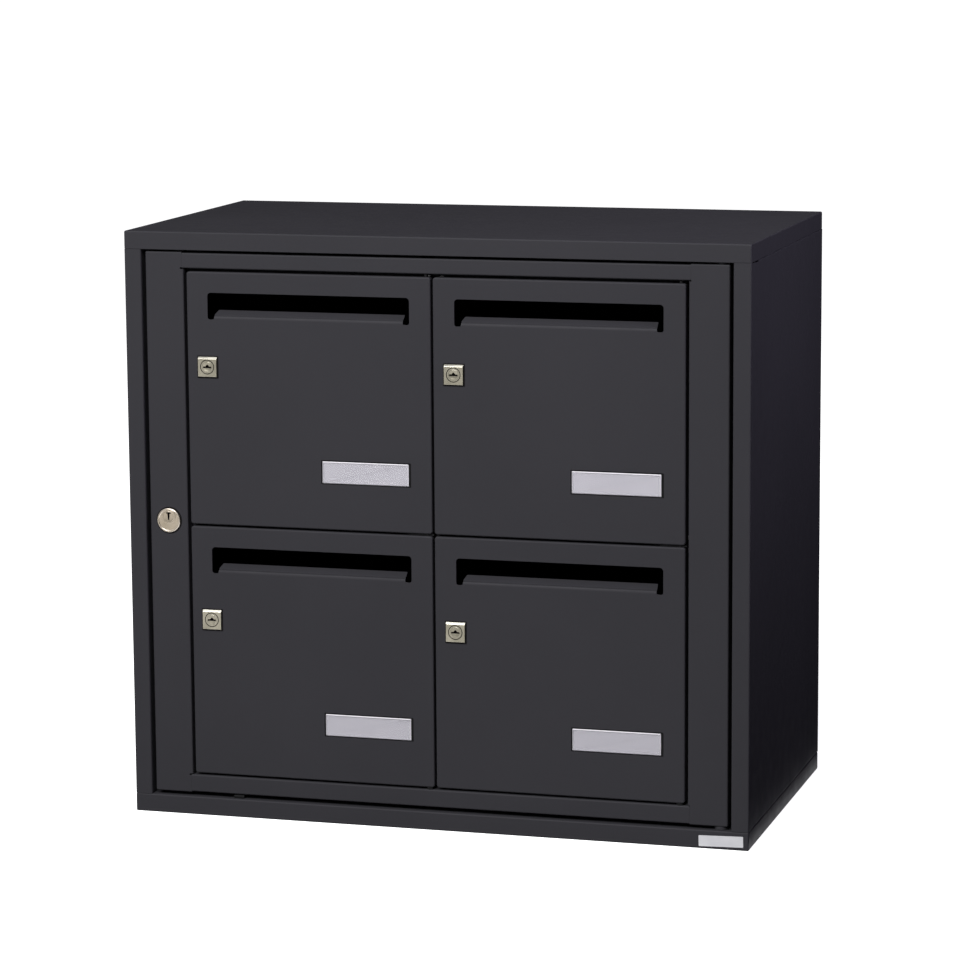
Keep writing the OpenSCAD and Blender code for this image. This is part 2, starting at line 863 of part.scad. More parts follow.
module lock_plug(door) {
    color(NICKEL) at_lock(door) plug(lock_plug_r, cam_back) {
        block([-4.5, -1, -1], [4.5, key_depth, 1]);
        rotate([0, 45, 0]) block([-1.2, -1, -1.2], [1.2, key_depth, 1.2]);
    }
}

module lock_cam(door) {
    color(ZINC) at_lock(door) cam(lock_plug_r, cam_back, cam_reach, cam_w);
}

// Depths of the label's layers behind the door face
label_front = 0.2;
card_front = label_front + label_window_t;
card_back = card_front + label_card_t;

module at_label(door) {
    at_door(door) translate([label_x, 0, label_z]) children();
}

module label_holder(door) {
    color(BLACK_PLASTIC) at_label(door) difference() {
        slab(sheet, card_back + sheet) {
            rounded_rectangle(label_w + 2 * holder_margin, label_h + 2 * holder_margin, 2);
        }
        block([-label_w / 2, 0, -label_h / 2], [label_w / 2, card_back, label_h / 2]);
    }
}

module label_card(door) {
    color([0.93, 0.93, 0.95]) at_label(door) {
        block([-label_w / 2, card_front, -label_h / 2], [label_w / 2, card_back, label_h / 2]);
    }
}

module label_window(door) {
    bevel = 0.8;
    color([0.85, 0.87, 0.93, 0.4]) at_label(door) hull() {
        block(
            [-label_w / 2, label_front + bevel, -label_h / 2],
            [label_w / 2, card_front, label_h / 2]
        );
        block(
            [bevel - label_w / 2, label_front, bevel - label_h / 2],
            [label_w / 2 - bevel, card_front, label_h / 2 - bevel]
        );
    }
}

// ---- Nodes ----

top_panel();
base_panel();
left_side_panel();
right_side_panel();
back_panel();
centre_partition();
left_shelf();
right_shelf();
shelf_rivets();
collective_hinge_pins();
collective_hinge_bushes();
glide_pad();
blank_plate();
left_stile();
right_stile();
top_rail();
bottom_rail();
centre_mullion();
centre_transoms();
door_pivot_brackets();
door_pivot_pins();
door_pivot_washers();
frame_rivets();
master_lock_body();
master_lock_nut();
master_lock_plug();
master_lock_cam();
for (door = DOORS) {
    door_panel(door);
    lock_body(door);
    lock_nut(door);
    lock_plug(door);
    lock_cam(door);
    label_holder(door);
    label_card(door);
    label_window(door);
}
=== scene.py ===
"""Looks of the letterbox block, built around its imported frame.

Two columns by two rows of locked compartments stand behind one hinged collective front of folded
sheet steel. Each sub-assembly is a class that builds its meshes, dresses them and hands them to
the frame. Lengths are in metres. +X is right, +Y is back, +Z is up, and the front faces -Y.
"""

from __future__ import annotations

import json
import logging
import math
from contextlib import contextmanager
from dataclasses import dataclass, field
from enum import Enum
from typing import Callable, Iterator, Sequence

import bmesh
import bpy
from mathutils import Matrix, Vector

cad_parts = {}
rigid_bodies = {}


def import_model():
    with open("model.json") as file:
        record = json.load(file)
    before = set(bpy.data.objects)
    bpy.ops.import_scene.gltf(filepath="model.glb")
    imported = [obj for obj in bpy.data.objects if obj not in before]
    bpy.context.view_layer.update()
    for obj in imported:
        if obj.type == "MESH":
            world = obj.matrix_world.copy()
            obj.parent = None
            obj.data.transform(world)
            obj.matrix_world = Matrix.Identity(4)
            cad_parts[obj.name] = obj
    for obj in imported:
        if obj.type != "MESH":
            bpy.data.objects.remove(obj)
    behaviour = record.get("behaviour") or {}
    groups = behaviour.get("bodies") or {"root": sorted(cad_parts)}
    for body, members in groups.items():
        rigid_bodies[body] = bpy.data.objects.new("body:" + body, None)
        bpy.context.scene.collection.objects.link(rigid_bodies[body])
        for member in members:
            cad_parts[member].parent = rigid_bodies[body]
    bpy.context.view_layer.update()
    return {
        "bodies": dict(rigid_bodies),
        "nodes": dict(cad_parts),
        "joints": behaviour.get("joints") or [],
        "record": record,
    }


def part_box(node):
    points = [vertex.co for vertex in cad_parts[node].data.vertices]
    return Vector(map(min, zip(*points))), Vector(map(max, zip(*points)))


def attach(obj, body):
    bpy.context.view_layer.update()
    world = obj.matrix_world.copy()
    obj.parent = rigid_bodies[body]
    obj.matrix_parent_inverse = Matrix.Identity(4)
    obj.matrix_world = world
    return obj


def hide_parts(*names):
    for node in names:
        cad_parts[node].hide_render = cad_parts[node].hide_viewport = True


LOG = logging.getLogger("letterbox_block")

MM = 0.001
X_AXIS = Vector((1.0, 0.0, 0.0))
Y_AXIS = Vector((0.0, 1.0, 0.0))
Z_AXIS = Vector((0.0, 0.0, 1.0))
NEAR = 0.02 * MM

Colour = tuple[float, float, float]
FaceTest = Callable[[Vector, Vector], bool]
EdgeTest = Callable[[Vector, Vector], bool]


class Side(Enum):
    """The side of the cabinet that a handed piece belongs to."""

    LEFT = -1
    RIGHT = 1

    @property
    def word(self) -> str:
        """Gives the side's name as it stands in the names of pieces."""
        return self.name.lower()


class RailPlace(Enum):
    """Which of the two rails of the collective front a rail is."""

    TOP = 1
    BOTTOM = -1

    @property
    def word(self) -> str:
        """Gives the rail's name as it stands in the names of pieces."""
        return self.name.lower()


# ---- Bench work: primitives, edit mode and modifiers ----


def clear_selection() -> None:
    """Deselects every object."""
    bpy.ops.object.select_all(action="DESELECT")


def take(piece: bpy.types.Object) -> None:
    """Makes one object the only selected and the active one.

    Args:
        piece: The object to work on.
    """
    clear_selection()
    piece.select_set(True)
    bpy.context.view_layer.objects.active = piece


def name_new(name: str) -> bpy.types.Object:
    """Names the primitive that was just added.

    Args:
        name: The new name of the object and of its mesh.

    Returns:
        The object.
    """
    piece = bpy.context.object
    piece.name = name
    piece.data.name = name
    bpy.ops.object.transform_apply(location=True, rotation=True, scale=True)
    return piece


def add_block(name: str, low: Sequence[float], high: Sequence[float]) -> bpy.types.Object:
    """Adds a block between two opposite corners.

    Args:
        name: The name of the block.
        low: The corner with the lowest coordinates.
        high: The corner with the highest coordinates.

    Returns:
        The block, with its place in its mesh.
    """
    low, high = Vector(low), Vector(high)
    clear_selection()
    bpy.ops.mesh.primitive_cube_add(size=1, location=(low + high) / 2, scale=high - low)
    return name_new(name)


def add_rod(
    name: str, radius: float, start: Sequence[float], end: Sequence[float], sides: int = 48
) -> bpy.types.Object:
    """Adds a round rod between two points.

    Args:
        name: The name of the rod.
        radius: The radius of the rod.
        start: The middle of one end.
        end: The middle of the other end.
        sides: The number of sides of the circle.

    Returns:
        The rod, with its place in its mesh.
    """
    start, end = Vector(start), Vector(end)
    along = end - start
    clear_selection()
    bpy.ops.mesh.primitive_cylinder_add(
        vertices=sides,
        radius=radius,
        depth=along.length,
        location=(start + end) / 2,
        rotation=along.to_track_quat("Z", "Y").to_euler(),
    )
    return name_new(name)


@contextmanager
def editing(piece: bpy.types.Object, mode: str) -> Iterator[bmesh.types.BMesh]:
    """Opens a piece in edit mode with nothing selected.

    Args:
        piece: The piece to edit.
        mode: The kind of element to select, VERT, EDGE or FACE.

    Yields:
        The edit mesh, for selecting in code.
    """
    take(piece)
    bpy.ops.object.mode_set(mode="EDIT")
    bpy.ops.mesh.select_mode(type=mode)
    bpy.ops.mesh.select_all(action="DESELECT")
    try:
        yield bmesh.from_edit_mesh(piece.data)
    finally:
        bpy.ops.object.mode_set(mode="OBJECT")


def pick_faces(mesh: bmesh.types.BMesh, test: FaceTest) -> int:
    """Selects the faces that pass a test, in an open edit mesh.

    Args:
        mesh: The edit mesh.
        test: Takes a face's centre and normal.

    Returns:
        The number of faces selected.
    """
    mesh.normal_update()
    count = 0
    for face in mesh.faces:
        wanted = test(face.calc_center_median(), face.normal)
        face.select_set(wanted)
        count += wanted
    mesh.select_flush_mode()
    return count


def pick_edges(mesh: bmesh.types.BMesh, test: EdgeTest) -> int:
    """Selects the edges that pass a test, in an open edit mesh.

    Args:
        mesh: The edit mesh.
        test: Takes the two ends of an edge.

    Returns:
        The number of edges selected.
    """
    count = 0
    for edge in mesh.edges:
        wanted = test(edge.verts[0].co, edge.verts[1].co)
        edge.select_set(wanted)
        count += wanted
    mesh.select_flush_mode()
    return count


def delete_faces(piece: bpy.types.Object, test: FaceTest) -> None:
    """Deletes the faces that pass a test.

    Args:
        piece: The piece to open up.
        test: Takes a face's centre and normal.
    """
    with editing(piece, "FACE") as mesh:
        pick_faces(mesh, test)
        bpy.ops.mesh.delete(type="FACE")


def split_faces(piece: bpy.types.Object, test: FaceTest, cuts: Sequence[tuple[int, float]]) -> None:
    """Cuts the faces that pass a test along planes square to an axis.

    Args:
        piece: The piece to cut.
        test: Takes a face's centre and normal.
        cuts: Each plane's axis number and its place on that axis.
    """
    with editing(piece, "FACE") as mesh:
        for axis, place in cuts:
            mesh = bmesh.from_edit_mesh(piece.data)
            if not pick_faces(mesh, test):
                continue
            normal = (X_AXIS, Y_AXIS, Z_AXIS)[axis]
            bpy.ops.mesh.bisect(plane_co=normal * place, plane_no=normal)


def pull_edges(piece: bpy.types.Object, test: EdgeTest, move: Sequence[float]) -> None:
    """Extrudes the edges that pass a test into a new flange.

    Args:
        piece: The piece that gets the flange.
        test: Takes the two ends of an edge.
        move: The extent of the flange.
    """
    with editing(piece, "EDGE") as mesh:
        pick_edges(mesh, test)
        bpy.ops.mesh.extrude_region_move(TRANSFORM_OT_translate={"value": tuple(move)})


def round_corners(
    piece: bpy.types.Object, test: EdgeTest, radius: float, segments: int = 6
) -> None:
    """Rounds the edges that pass a test.

    Args:
        piece: The piece to round.
        test: Takes the two ends of an edge.
        radius: The radius of the rounding.
        segments: The number of steps of the arc.
    """
    with editing(piece, "EDGE") as mesh:
        pick_edges(mesh, test)
        bpy.ops.mesh.bevel(offset=radius, segments=segments, affect="EDGES", clamp_overlap=True)


def run_modifier(piece: bpy.types.Object, kind: str, **settings: object) -> None:
    """Adds a modifier to a piece, sets it and applies it.

    Args:
        piece: The piece to change.
        kind: The modifier's type.
        **settings: The modifier's settings.
    """
    take(piece)
    modifier = piece.modifiers.new(kind.lower(), kind)
    for key, value in settings.items():
        setattr(modifier, key, value)
    bpy.ops.object.modifier_apply(modifier=modifier.name)


def join(pieces: Sequence[bpy.types.Object], name: str) -> bpy.types.Object:
    """Joins several objects into the first.

    Args:
        pieces: The objects to join.
        name: The name of the joined object.

    Returns:
        The joined object.
    """
    clear_selection()
    for piece in pieces:
        piece.select_set(True)
    bpy.context.view_layer.objects.active = pieces[0]
    bpy.ops.object.join()
    pieces[0].name = name
    pieces[0].data.name = name
    return pieces[0]


def combine(
    piece: bpy.types.Object, tools: Sequence[bpy.types.Object], operation: str = "DIFFERENCE"
) -> None:
    """Cuts shapes out of a piece or welds them to it, and removes the shapes.

    Args:
        piece: The piece to change.
        tools: Closed shapes that don't overlap each other.
        operation: DIFFERENCE to cut or UNION to weld.
    """
    tool = join(tools, "tool") if len(tools) > 1 else tools[0]
    run_modifier(piece, "BOOLEAN", operation=operation, object=tool, solver="EXACT")
    bpy.data.objects.remove(tool)


def copy_piece(piece: bpy.types.Object, name: str, move: Sequence[float]) -> bpy.types.Object:
    """Copies a finished piece, with a mesh of its own, to another place.

    Args:
        piece: The piece to copy.
        name: The name of the copy.
        move: The way from the piece to the copy.

    Returns:
        The copy, with its place in its mesh.
    """
    take(piece)
    bpy.ops.object.duplicate(linked=False)
    bpy.ops.transform.translate(value=tuple(move))
    return name_new(name)


def turn_faces_out(piece: bpy.types.Object) -> None:
    """Merges doubled points of a closed shape and points its faces outwards.

    Args:
        piece: The closed shape.
    """
    with editing(piece, "VERT"):
        bpy.ops.mesh.select_all(action="SELECT")
        bpy.ops.mesh.remove_doubles(threshold=0.002 * MM)
        bpy.ops.mesh.normals_make_consistent(inside=False)


def shade(piece: bpy.types.Object, angle: float = 35.0) -> None:
    """Shades a piece smooth, with flat faces kept flat and corners kept sharp.

    Args:
        piece: The piece to shade.
        angle: The angle in degrees past which an edge stays sharp.
    """
    take(piece)
    bpy.ops.object.shade_smooth_by_angle(angle=math.radians(angle))
    run_modifier(piece, "WEIGHTED_NORMAL", weight=90, keep_sharp=True)


def soften(
    piece: bpy.types.Object, width: float, segments: int = 2, angle: float = 40.0
) -> None:
    """Takes the sharpness off a piece's edges and shades it.

    Args:
        piece: The piece to finish.
        width: The width of the softened edge.
        segments: The number of steps across it.
        angle: The angle in degrees past which an edge is softened.
    """
    run_modifier(
        piece,
        "BEVEL",
        width=width,
        segments=segments,
        limit_method="ANGLE",
        angle_limit=math.radians(angle),
        use_clamp_overlap=True,
        miter_outer="MITER_ARC",
    )
    shade(piece)


def lathe(
    name: str,
    profile: Sequence[tuple[float, float]],
    centre: Sequence[float],
    axis: Vector,
    steps: int = 64,
) -> bpy.types.Object:
    """Spins a profile round an axis into a closed turned shape.

    Args:
        name: The name of the shape.
        profile: Each point's radius and its distance along the axis.
        centre: A point on the axis, from which the distances run.
        axis: The direction of the axis.
        steps: The number of steps round the circle.

    Returns:
        The turned shape.
    """
    centre = Vector(centre)
    outwards = Z_AXIS if abs(axis.z) < 0.5 else X_AXIS
    points = [centre + outwards * radius + axis * along for radius, along in profile]
    clear_selection()
    bpy.ops.mesh.primitive_plane_add(size=MM, location=points[0])
    piece = name_new(name)
    with editing(piece, "VERT"):
        bpy.ops.mesh.select_all(action="SELECT")
        bpy.ops.mesh.merge(type="CENTER")
        for start, end in zip(points, points[1:]):
            bpy.ops.mesh.extrude_region_move(TRANSFORM_OT_translate={"value": tuple(end - start)})
        bpy.ops.mesh.select_all(action="SELECT")
        bpy.ops.mesh.spin(steps=steps, angle=math.tau, center=centre, axis=axis)
    turn_faces_out(piece)
    return piece


def arc(
    radius: float, centre: tuple[float, float], start: float, end: float, steps: int = 5
) -> list[tuple[float, float]]:
    """Gives the points of an arc in a lathe profile.

    Args:
        radius: The radius of the arc.
        centre: The arc's centre, as radius and distance along the axis.
        start: The angle in degrees at which it starts.
        end: The angle in degrees at which it ends.
        steps: The number of steps.

    Returns:
        The points, as radius and distance along the axis.
    """
    points = []
    for step in range(steps + 1):
        angle = math.radians(start + (end - start) * step / steps)
        points.append((centre[0] + radius * math.cos(angle), centre[1] + radius * math.sin(angle)))
    return points


def parallel(axis: int) -> EdgeTest:
    """Gives a test for edges that run along one axis.

    Args:
        axis: The number of the axis.

    Returns:
        The test.
    """

    def test(start: Vector, end: Vector) -> bool:
        """Says whether the edge's ends differ along that axis only."""
        others = [index for index in range(3) if index != axis]
        return all(abs(start[index] - end[index]) < NEAR for index in others)

    return test


def rounded_block(
    name: str, low: Sequence[float], high: Sequence[float], axis: int, radius: float
) -> bpy.types.Object:
    """Adds a block whose four edges along one axis are round.

    Args:
        name: The name of the block.
        low: The corner with the lowest coordinates.
        high: The corner with the highest coordinates.
        axis: The number of the axis that the round edges follow.
        radius: The radius of the edges.

    Returns:
        The block.
    """
    piece = add_block(name, low, high)
    round_corners(piece, parallel(axis), radius)
    return piece


@dataclass(frozen=True)
class SheetMetal:
    """How the folded sheet pieces are made."""

    thickness: float = 1.2 * MM
    outer_bend: float = 1.7 * MM
    inner_bend: float = 0.4 * MM
    cut_edge: float = 0.22 * MM
    steps: int = 4

    def fold(self, piece: bpy.types.Object) -> None:
        """Rounds every fold of an open shell.

        Args:
            piece: The shell, with its faces outwards.
        """
        for convex, radius in ((True, self.outer_bend), (False, self.inner_bend)):
            with editing(piece, "EDGE") as mesh:
                mesh.normal_update()
                for edge in mesh.edges:
                    folded = edge.is_manifold and edge.calc_face_angle() > math.radians(50)
                    edge.select_set(folded and edge.is_convex == convex)
                mesh.select_flush_mode()
                bpy.ops.mesh.bevel(
                    offset=radius, segments=self.steps, affect="EDGES", clamp_overlap=True
                )

    def thicken(self, piece: bpy.types.Object) -> None:
        """Gives an open shell its wall, on the inside of its faces.

        Args:
            piece: The shell.
        """
        with editing(piece, "VERT"):
            bpy.ops.mesh.select_all(action="SELECT")
            bpy.ops.mesh.remove_doubles(threshold=0.002 * MM)
        run_modifier(
            piece,
            "SOLIDIFY",
            thickness=self.thickness,
            offset=-1.0,
            use_even_offset=True,
            use_quality_normals=True,
        )

    def finish(self, piece: bpy.types.Object) -> None:
        """Takes the burr off the cut edges and shades the piece.

        Args:
            piece: The cut piece.
        """
        soften(piece, self.cut_edge)


SHEET = SheetMetal()


# ---- Finishes ----


class NodeDesk:
    """A node tree with short ways to add and join nodes."""

    def __init__(self, tree: bpy.types.NodeTree) -> None:
        """Keeps the tree.

        Args:
            tree: The node tree to build in.
        """
        self.tree = tree

    def add(self, kind: str, **values: object) -> bpy.types.Node:
        """Adds a node.

        Args:
            kind: The node's type.
            **values: Values of the node's own properties.

        Returns:
            The node.
        """
        node = self.tree.nodes.new(kind)
        for key, value in values.items():
            setattr(node, key, value)
        return node

    def join(self, start: bpy.types.NodeSocket, end: bpy.types.NodeSocket) -> None:
        """Links an output to an input.

        Args:
            start: The output.
            end: The input.
        """
        self.tree.links.new(start, end)

    def math(
        self, operation: str, first: object, second: object = None, clamp: bool = False
    ) -> bpy.types.NodeSocket:
        """Adds a maths node.

        Args:
            operation: The node's operation.
            first: A number or an output.
            second: A number or an output, where the operation takes two.
            clamp: Whether the result is held between 0 and 1.

        Returns:
            The result's output.
        """
        node = self.add("ShaderNodeMath", operation=operation, use_clamp=clamp)
        for socket, value in zip(node.inputs, (first, second)):
            if isinstance(value, bpy.types.NodeSocket):
                self.join(value, socket)
            elif value is not None:
                socket.default_value = value
        return node.outputs[0]

    def spread(
        self, value: bpy.types.NodeSocket, low: float, high: float, new_low: float, new_high: float
    ) -> bpy.types.NodeSocket:
        """Maps a value from one range to another.

        Args:
            value: The value's output.
            low: The low end of its range.
            high: The high end of its range.
            new_low: What the low end becomes.
            new_high: What the high end becomes.

        Returns:
            The result's output.
        """
        node = self.add("ShaderNodeMapRange", interpolation_type="SMOOTHSTEP")
        self.join(value, node.inputs["Value"])
        for name, number in zip(
            ("From Min", "From Max", "To Min", "To Max"), (low, high, new_low, new_high)
        ):
            node.inputs[name].default_value = number
        return node.outputs["Result"]

    def noise(
        self, place: bpy.types.NodeSocket, scale: float, detail: float = 2.0, rough: float = 0.5
    ) -> bpy.types.NodeSocket:
        """Adds a noise texture.

        Args:
            place: The output that gives the place.
            scale: The number of features in a metre.
            detail: The number of finer layers.
            rough: The strength of the finer layers.

        Returns:
            The noise's value.
        """
        node = self.add("ShaderNodeTexNoise")
        self.join(place, node.inputs["Vector"])
        node.inputs["Scale"].default_value = scale
        node.inputs["Detail"].default_value = detail
        node.inputs["Roughness"].default_value = rough
        return node.outputs["Fac"]

    def blend(
        self, share: bpy.types.NodeSocket, first: object, second: object, way: str = "MIX"
    ) -> bpy.types.NodeSocket:
        """Mixes two colours.

        Args:
            share: The output that gives the second colour's share.
            first: A colour or an output.
            second: A colour or an output.
            way: The mixing way.

        Returns:
            The mixed colour's output.
        """
        node = self.add("ShaderNodeMix", data_type="RGBA", blend_type=way)
        self.join(share, node.inputs[0])
        for socket, value in zip(node.inputs[6:8], (first, second)):
            if isinstance(value, bpy.types.NodeSocket):
                self.join(value, socket)
            else:
                socket.default_value = (*value, 1.0)
        return node.outputs[2]


def new_group(name: str, inputs: Sequence[tuple[str, str, object]], outputs: Sequence[tuple[str, str]]) -> tuple[bpy.types.NodeTree, NodeDesk, dict, dict]:
    """Starts a shader node group.

    Args:
        name: The group's name.
        inputs: Each input's name, socket type and value at first.
        outputs: Each output's name and socket type.

    Returns:
        The group, its desk, its input sockets and its output sockets by name.
    """
    tree = bpy.data.node_groups.new(name, "ShaderNodeTree")
    for label, kind, value in inputs:
        socket = tree.interface.new_socket(label, in_out="INPUT", socket_type=kind)
        socket.default_value = value
    for label, kind in outputs:
        tree.interface.new_socket(label, in_out="OUTPUT", socket_type=kind)
    desk = NodeDesk(tree)
    given = desk.add("NodeGroupInput")
    wanted = desk.add("NodeGroupOutput")
    return tree, desk, given.outputs, wanted.inputs


class SurfaceEffects:
    """Node groups for the effects that several finishes share."""

    def __init__(self) -> None:
        """Builds every group once."""
        self.texture = self._texture()
        self.drift = self._drift()
        self.folds = self._folds()

    def _texture(self) -> bpy.types.NodeTree:
        """Builds the fine surface texture, as a roughness and a height.

        Returns:
            The group.
        """
        tree, desk, given, wanted = new_group(
            "fine_texture",
            [
                ("Scale", "NodeSocketFloat", 900.0),
                ("Smoothest", "NodeSocketFloat", 0.4),
                ("Roughest", "NodeSocketFloat", 0.6),
            ],
            [("Roughness", "NodeSocketFloat"), ("Height", "NodeSocketFloat")],
        )
        place = desk.add("ShaderNodeTexCoord").outputs["Object"]
        grain = desk.add("ShaderNodeTexNoise")
        desk.join(place, grain.inputs["Vector"])
        desk.join(given["Scale"], grain.inputs["Scale"])
        grain.inputs["Detail"].default_value = 3.0
        waves = desk.add("ShaderNodeTexNoise")
        desk.join(place, waves.inputs["Vector"])
        desk.join(desk.math("MULTIPLY", given["Scale"], 0.22), waves.inputs["Scale"])
        waves.inputs["Detail"].default_value = 1.0
        height = desk.math(
            "ADD", grain.outputs["Fac"], desk.math("MULTIPLY", waves.outputs["Fac"], 1.6)
        )
        span = desk.math("SUBTRACT", given["Roughest"], given["Smoothest"])
        patches = desk.spread(desk.noise(place, 45.0, 4.0), 0.3, 0.7, 0.0, 1.0)
        desk.join(
            desk.math("ADD", given["Smoothest"], desk.math("MULTIPLY", span, patches)),
            wanted["Roughness"],
        )
        desk.join(height, wanted["Height"])
        return tree

    def _drift(self) -> bpy.types.NodeTree:
        """Builds the slow change of tone over a surface.

        Returns:
            The group.
        """
        tree, desk, given, wanted = new_group(
            "tone_drift",
            [
                ("Colour", "NodeSocketColor", (0.5, 0.5, 0.5, 1.0)),
                ("Other", "NodeSocketColor", (0.6, 0.6, 0.6, 1.0)),
                ("Broad", "NodeSocketFloat", 5.0),
                ("Fine", "NodeSocketFloat", 400.0),
            ],
            [("Colour", "NodeSocketColor")],
        )
        place = desk.add("ShaderNodeTexCoord").outputs["Object"]
        fields = []
        for label in ("Broad", "Fine"):
            noise = desk.add("ShaderNodeTexNoise")
            desk.join(place, noise.inputs["Vector"])
            desk.join(given[label], noise.inputs["Scale"])
            noise.inputs["Detail"].default_value = 3.0
            fields.append(noise.outputs["Fac"])
        share = desk.math("ADD", desk.math("MULTIPLY", fields[0], 0.65), desk.math("MULTIPLY", fields[1], 0.35))
        desk.join(
            desk.blend(desk.spread(share, 0.3, 0.7, 0.0, 1.0), given["Colour"], given["Other"]),
            wanted["Colour"],
        )
        return tree

    def _folds(self) -> bpy.types.NodeTree:
        """Builds the mask of rounded bends and edges, where the surface faces between two axes; it places a
        painted highlight.

        Returns:
            The group.
        """
        tree, desk, given, wanted = new_group(
            "fold_mask",
            [("Start", "NodeSocketFloat", 0.03), ("Full", "NodeSocketFloat", 0.2)],
            [("Mask", "NodeSocketFloat")],
        )
        parts = desk.add("ShaderNodeSeparateXYZ")
        desk.join(desk.add("ShaderNodeTexCoord").outputs["Normal"], parts.inputs[0])
        sizes = [desk.math("ABSOLUTE", output) for output in parts.outputs]
        most = desk.math("MAXIMUM", desk.math("MAXIMUM", sizes[0], sizes[1]), sizes[2])
        turned = desk.math("SUBTRACT", 1.0, most)
        share = desk.math("SUBTRACT", turned, given["Start"])
        span = desk.math("SUBTRACT", given["Full"], given["Start"])
        desk.join(desk.math("DIVIDE", share, span, clamp=True), wanted["Mask"])
        return tree


@dataclass(frozen=True)
class Finish:
    """A finish with a fine texture, a slow drift of tone and a painted highlight on its rounded bends and
    edges.
    """

    name: str
    slot: str
    colour: Colour
    other: Colour
    # Light colour painted onto rounded bends and edges as a highlight, by the share below.
    fold_colour: Colour
    metallic: float = 0.0
    specular: float = 0.5
    smoothest: float = 0.4
    roughest: float = 0.55
    scale: float = 900.0
    bump: float = 0.1
    bump_depth: float = 0.02 * MM
    broad: float = 5.0
    fine: float = 400.0
    fold_share: float = 0.0
    alpha: float = 1.0

    def build(self, effects: SurfaceEffects) -> bpy.types.Material:
        """Builds the material.

        Args:
            effects: The shared node groups.

        Returns:
            The material.
        """
        material = bpy.data.materials.new(self.name)
        material.use_nodes = True
        material.diffuse_color = (*self.colour, 1.0)
        desk = NodeDesk(material.node_tree)
        shader = material.node_tree.nodes["Principled BSDF"]
        shader.inputs["Metallic"].default_value = self.metallic
        shader.inputs["Specular IOR Level"].default_value = self.specular
        shader.inputs["Alpha"].default_value = self.alpha
        texture = desk.add("ShaderNodeGroup")
        texture.node_tree = effects.texture
        for label, value in (
            ("Scale", self.scale),
            ("Smoothest", self.smoothest),
            ("Roughest", self.roughest),
        ):
            texture.inputs[label].default_value = value
        desk.join(texture.outputs["Roughness"], shader.inputs["Roughness"])
        bump = desk.add("ShaderNodeBump")
        bump.inputs["Strength"].default_value = self.bump
        bump.inputs["Distance"].default_value = self.bump_depth
        desk.join(texture.outputs["Height"], bump.inputs["Height"])
        desk.join(bump.outputs["Normal"], shader.inputs["Normal"])
        drift = desk.add("ShaderNodeGroup")
        drift.node_tree = effects.drift
        drift.inputs["Colour"].default_value = (*self.colour, 1.0)
        drift.inputs["Other"].default_value = (*self.other, 1.0)
        drift.inputs["Broad"].default_value = self.broad
        drift.inputs["Fine"].default_value = self.fine
        colour = drift.outputs["Colour"]
        # Painted highlight: rounded bends and edges are blended towards the light highlight colour.
        if self.fold_share > 0.0:
            folds = desk.add("ShaderNodeGroup")
            folds.node_tree = effects.folds
            share = desk.math("MULTIPLY", folds.outputs["Mask"], self.fold_share)
            colour = desk.blend(share, colour, self.fold_colour)
        desk.join(colour, shader.inputs["Base Color"])
        return material


POWDER_COAT = Finish(
    name="anthracite_powder_coat",
    slot="paint",
    colour=(0.0238, 0.0233, 0.0266),
    other=(0.0262, 0.0256, 0.0292),
    fold_colour=(0.0238, 0.0233, 0.0266),
    specular=0.06,
    smoothest=0.50,
    roughest=0.58,
    scale=1100.0,
    bump=0.12,
    bump_depth=0.04 * MM,
)
# Satin nickel, with a painted highlight on its rounded bends and edges.
SATIN_NICKEL = Finish(
    name="satin_nickel",
    slot="nickel",
    colour=(0.150, 0.140, 0.108),
    other=(0.215, 0.200, 0.160),
    fold_colour=(0.62, 0.60, 0.54),
    metallic=1.0,
    smoothest=0.26,
    roughest=0.38,
    scale=2600.0,
    bump=0.12,
    bump_depth=0.012 * MM,
    broad=60.0,
    fine=900.0,
    fold_share=0.55,
)
# Zinc plate, with a painted highlight on its rounded bends and edges.
ZINC_PLATE = Finish(
    name="zinc_plate",
    slot="zinc",
    colour=(0.36, 0.37, 0.385),
    other=(0.46, 0.465, 0.46),
    fold_colour=(0.66, 0.67, 0.68),
    metallic=1.0,
    smoothest=0.3,
    roughest=0.5,
    scale=1500.0,
    bump=0.2,
    bump_depth=0.02 * MM,
    broad=90.0,
    fine=700.0,
    fold_share=0.5,
)
# Warm satin nickel, with a painted highlight on its rounded bends and edges.
WARM_NICKEL = Finish(
    name="warm_satin_nickel",
    slot="nickel",
    colour=(0.190, 0.162, 0.122),
    other=(0.245, 0.212, 0.168),
    fold_colour=(0.72, 0.66, 0.60),
    metallic=1.0,
    smoothest=0.26,
    roughest=0.36,
    scale=2600.0,
    bump=0.12,
    bump_depth=0.012 * MM,
    broad=70.0,
    fine=800.0,
    fold_share=0.6,
)
# Near-black material painted where shade falls: keyway walls, groove floors and the dark rims round the lock
# faces.
PAINTED_SHADE = Finish(
    name="oiled_dark_steel",
    slot="nickel",
    colour=(0.0045, 0.0040, 0.0040),
    other=(0.0070, 0.0065, 0.0065),
    fold_colour=(0.01, 0.01, 0.01),
    specular=0.05,
    smoothest=0.6,
    roughest=0.8,
    scale=2000.0,
    bump=0.1,
    bump_depth=0.01 * MM,
)
BLACKENED_STEEL = Finish(
    name="blackened_steel",
    slot="paint",
    colour=(0.0050, 0.0048, 0.0055),
    other=(0.0070, 0.0068, 0.0076),
    fold_colour=(0.01, 0.01, 0.01),
    specular=0.08,
    smoothest=0.5,
    roughest=0.65,
    scale=1600.0,
    bump=0.15,
    bump_depth=0.02 * MM,
)
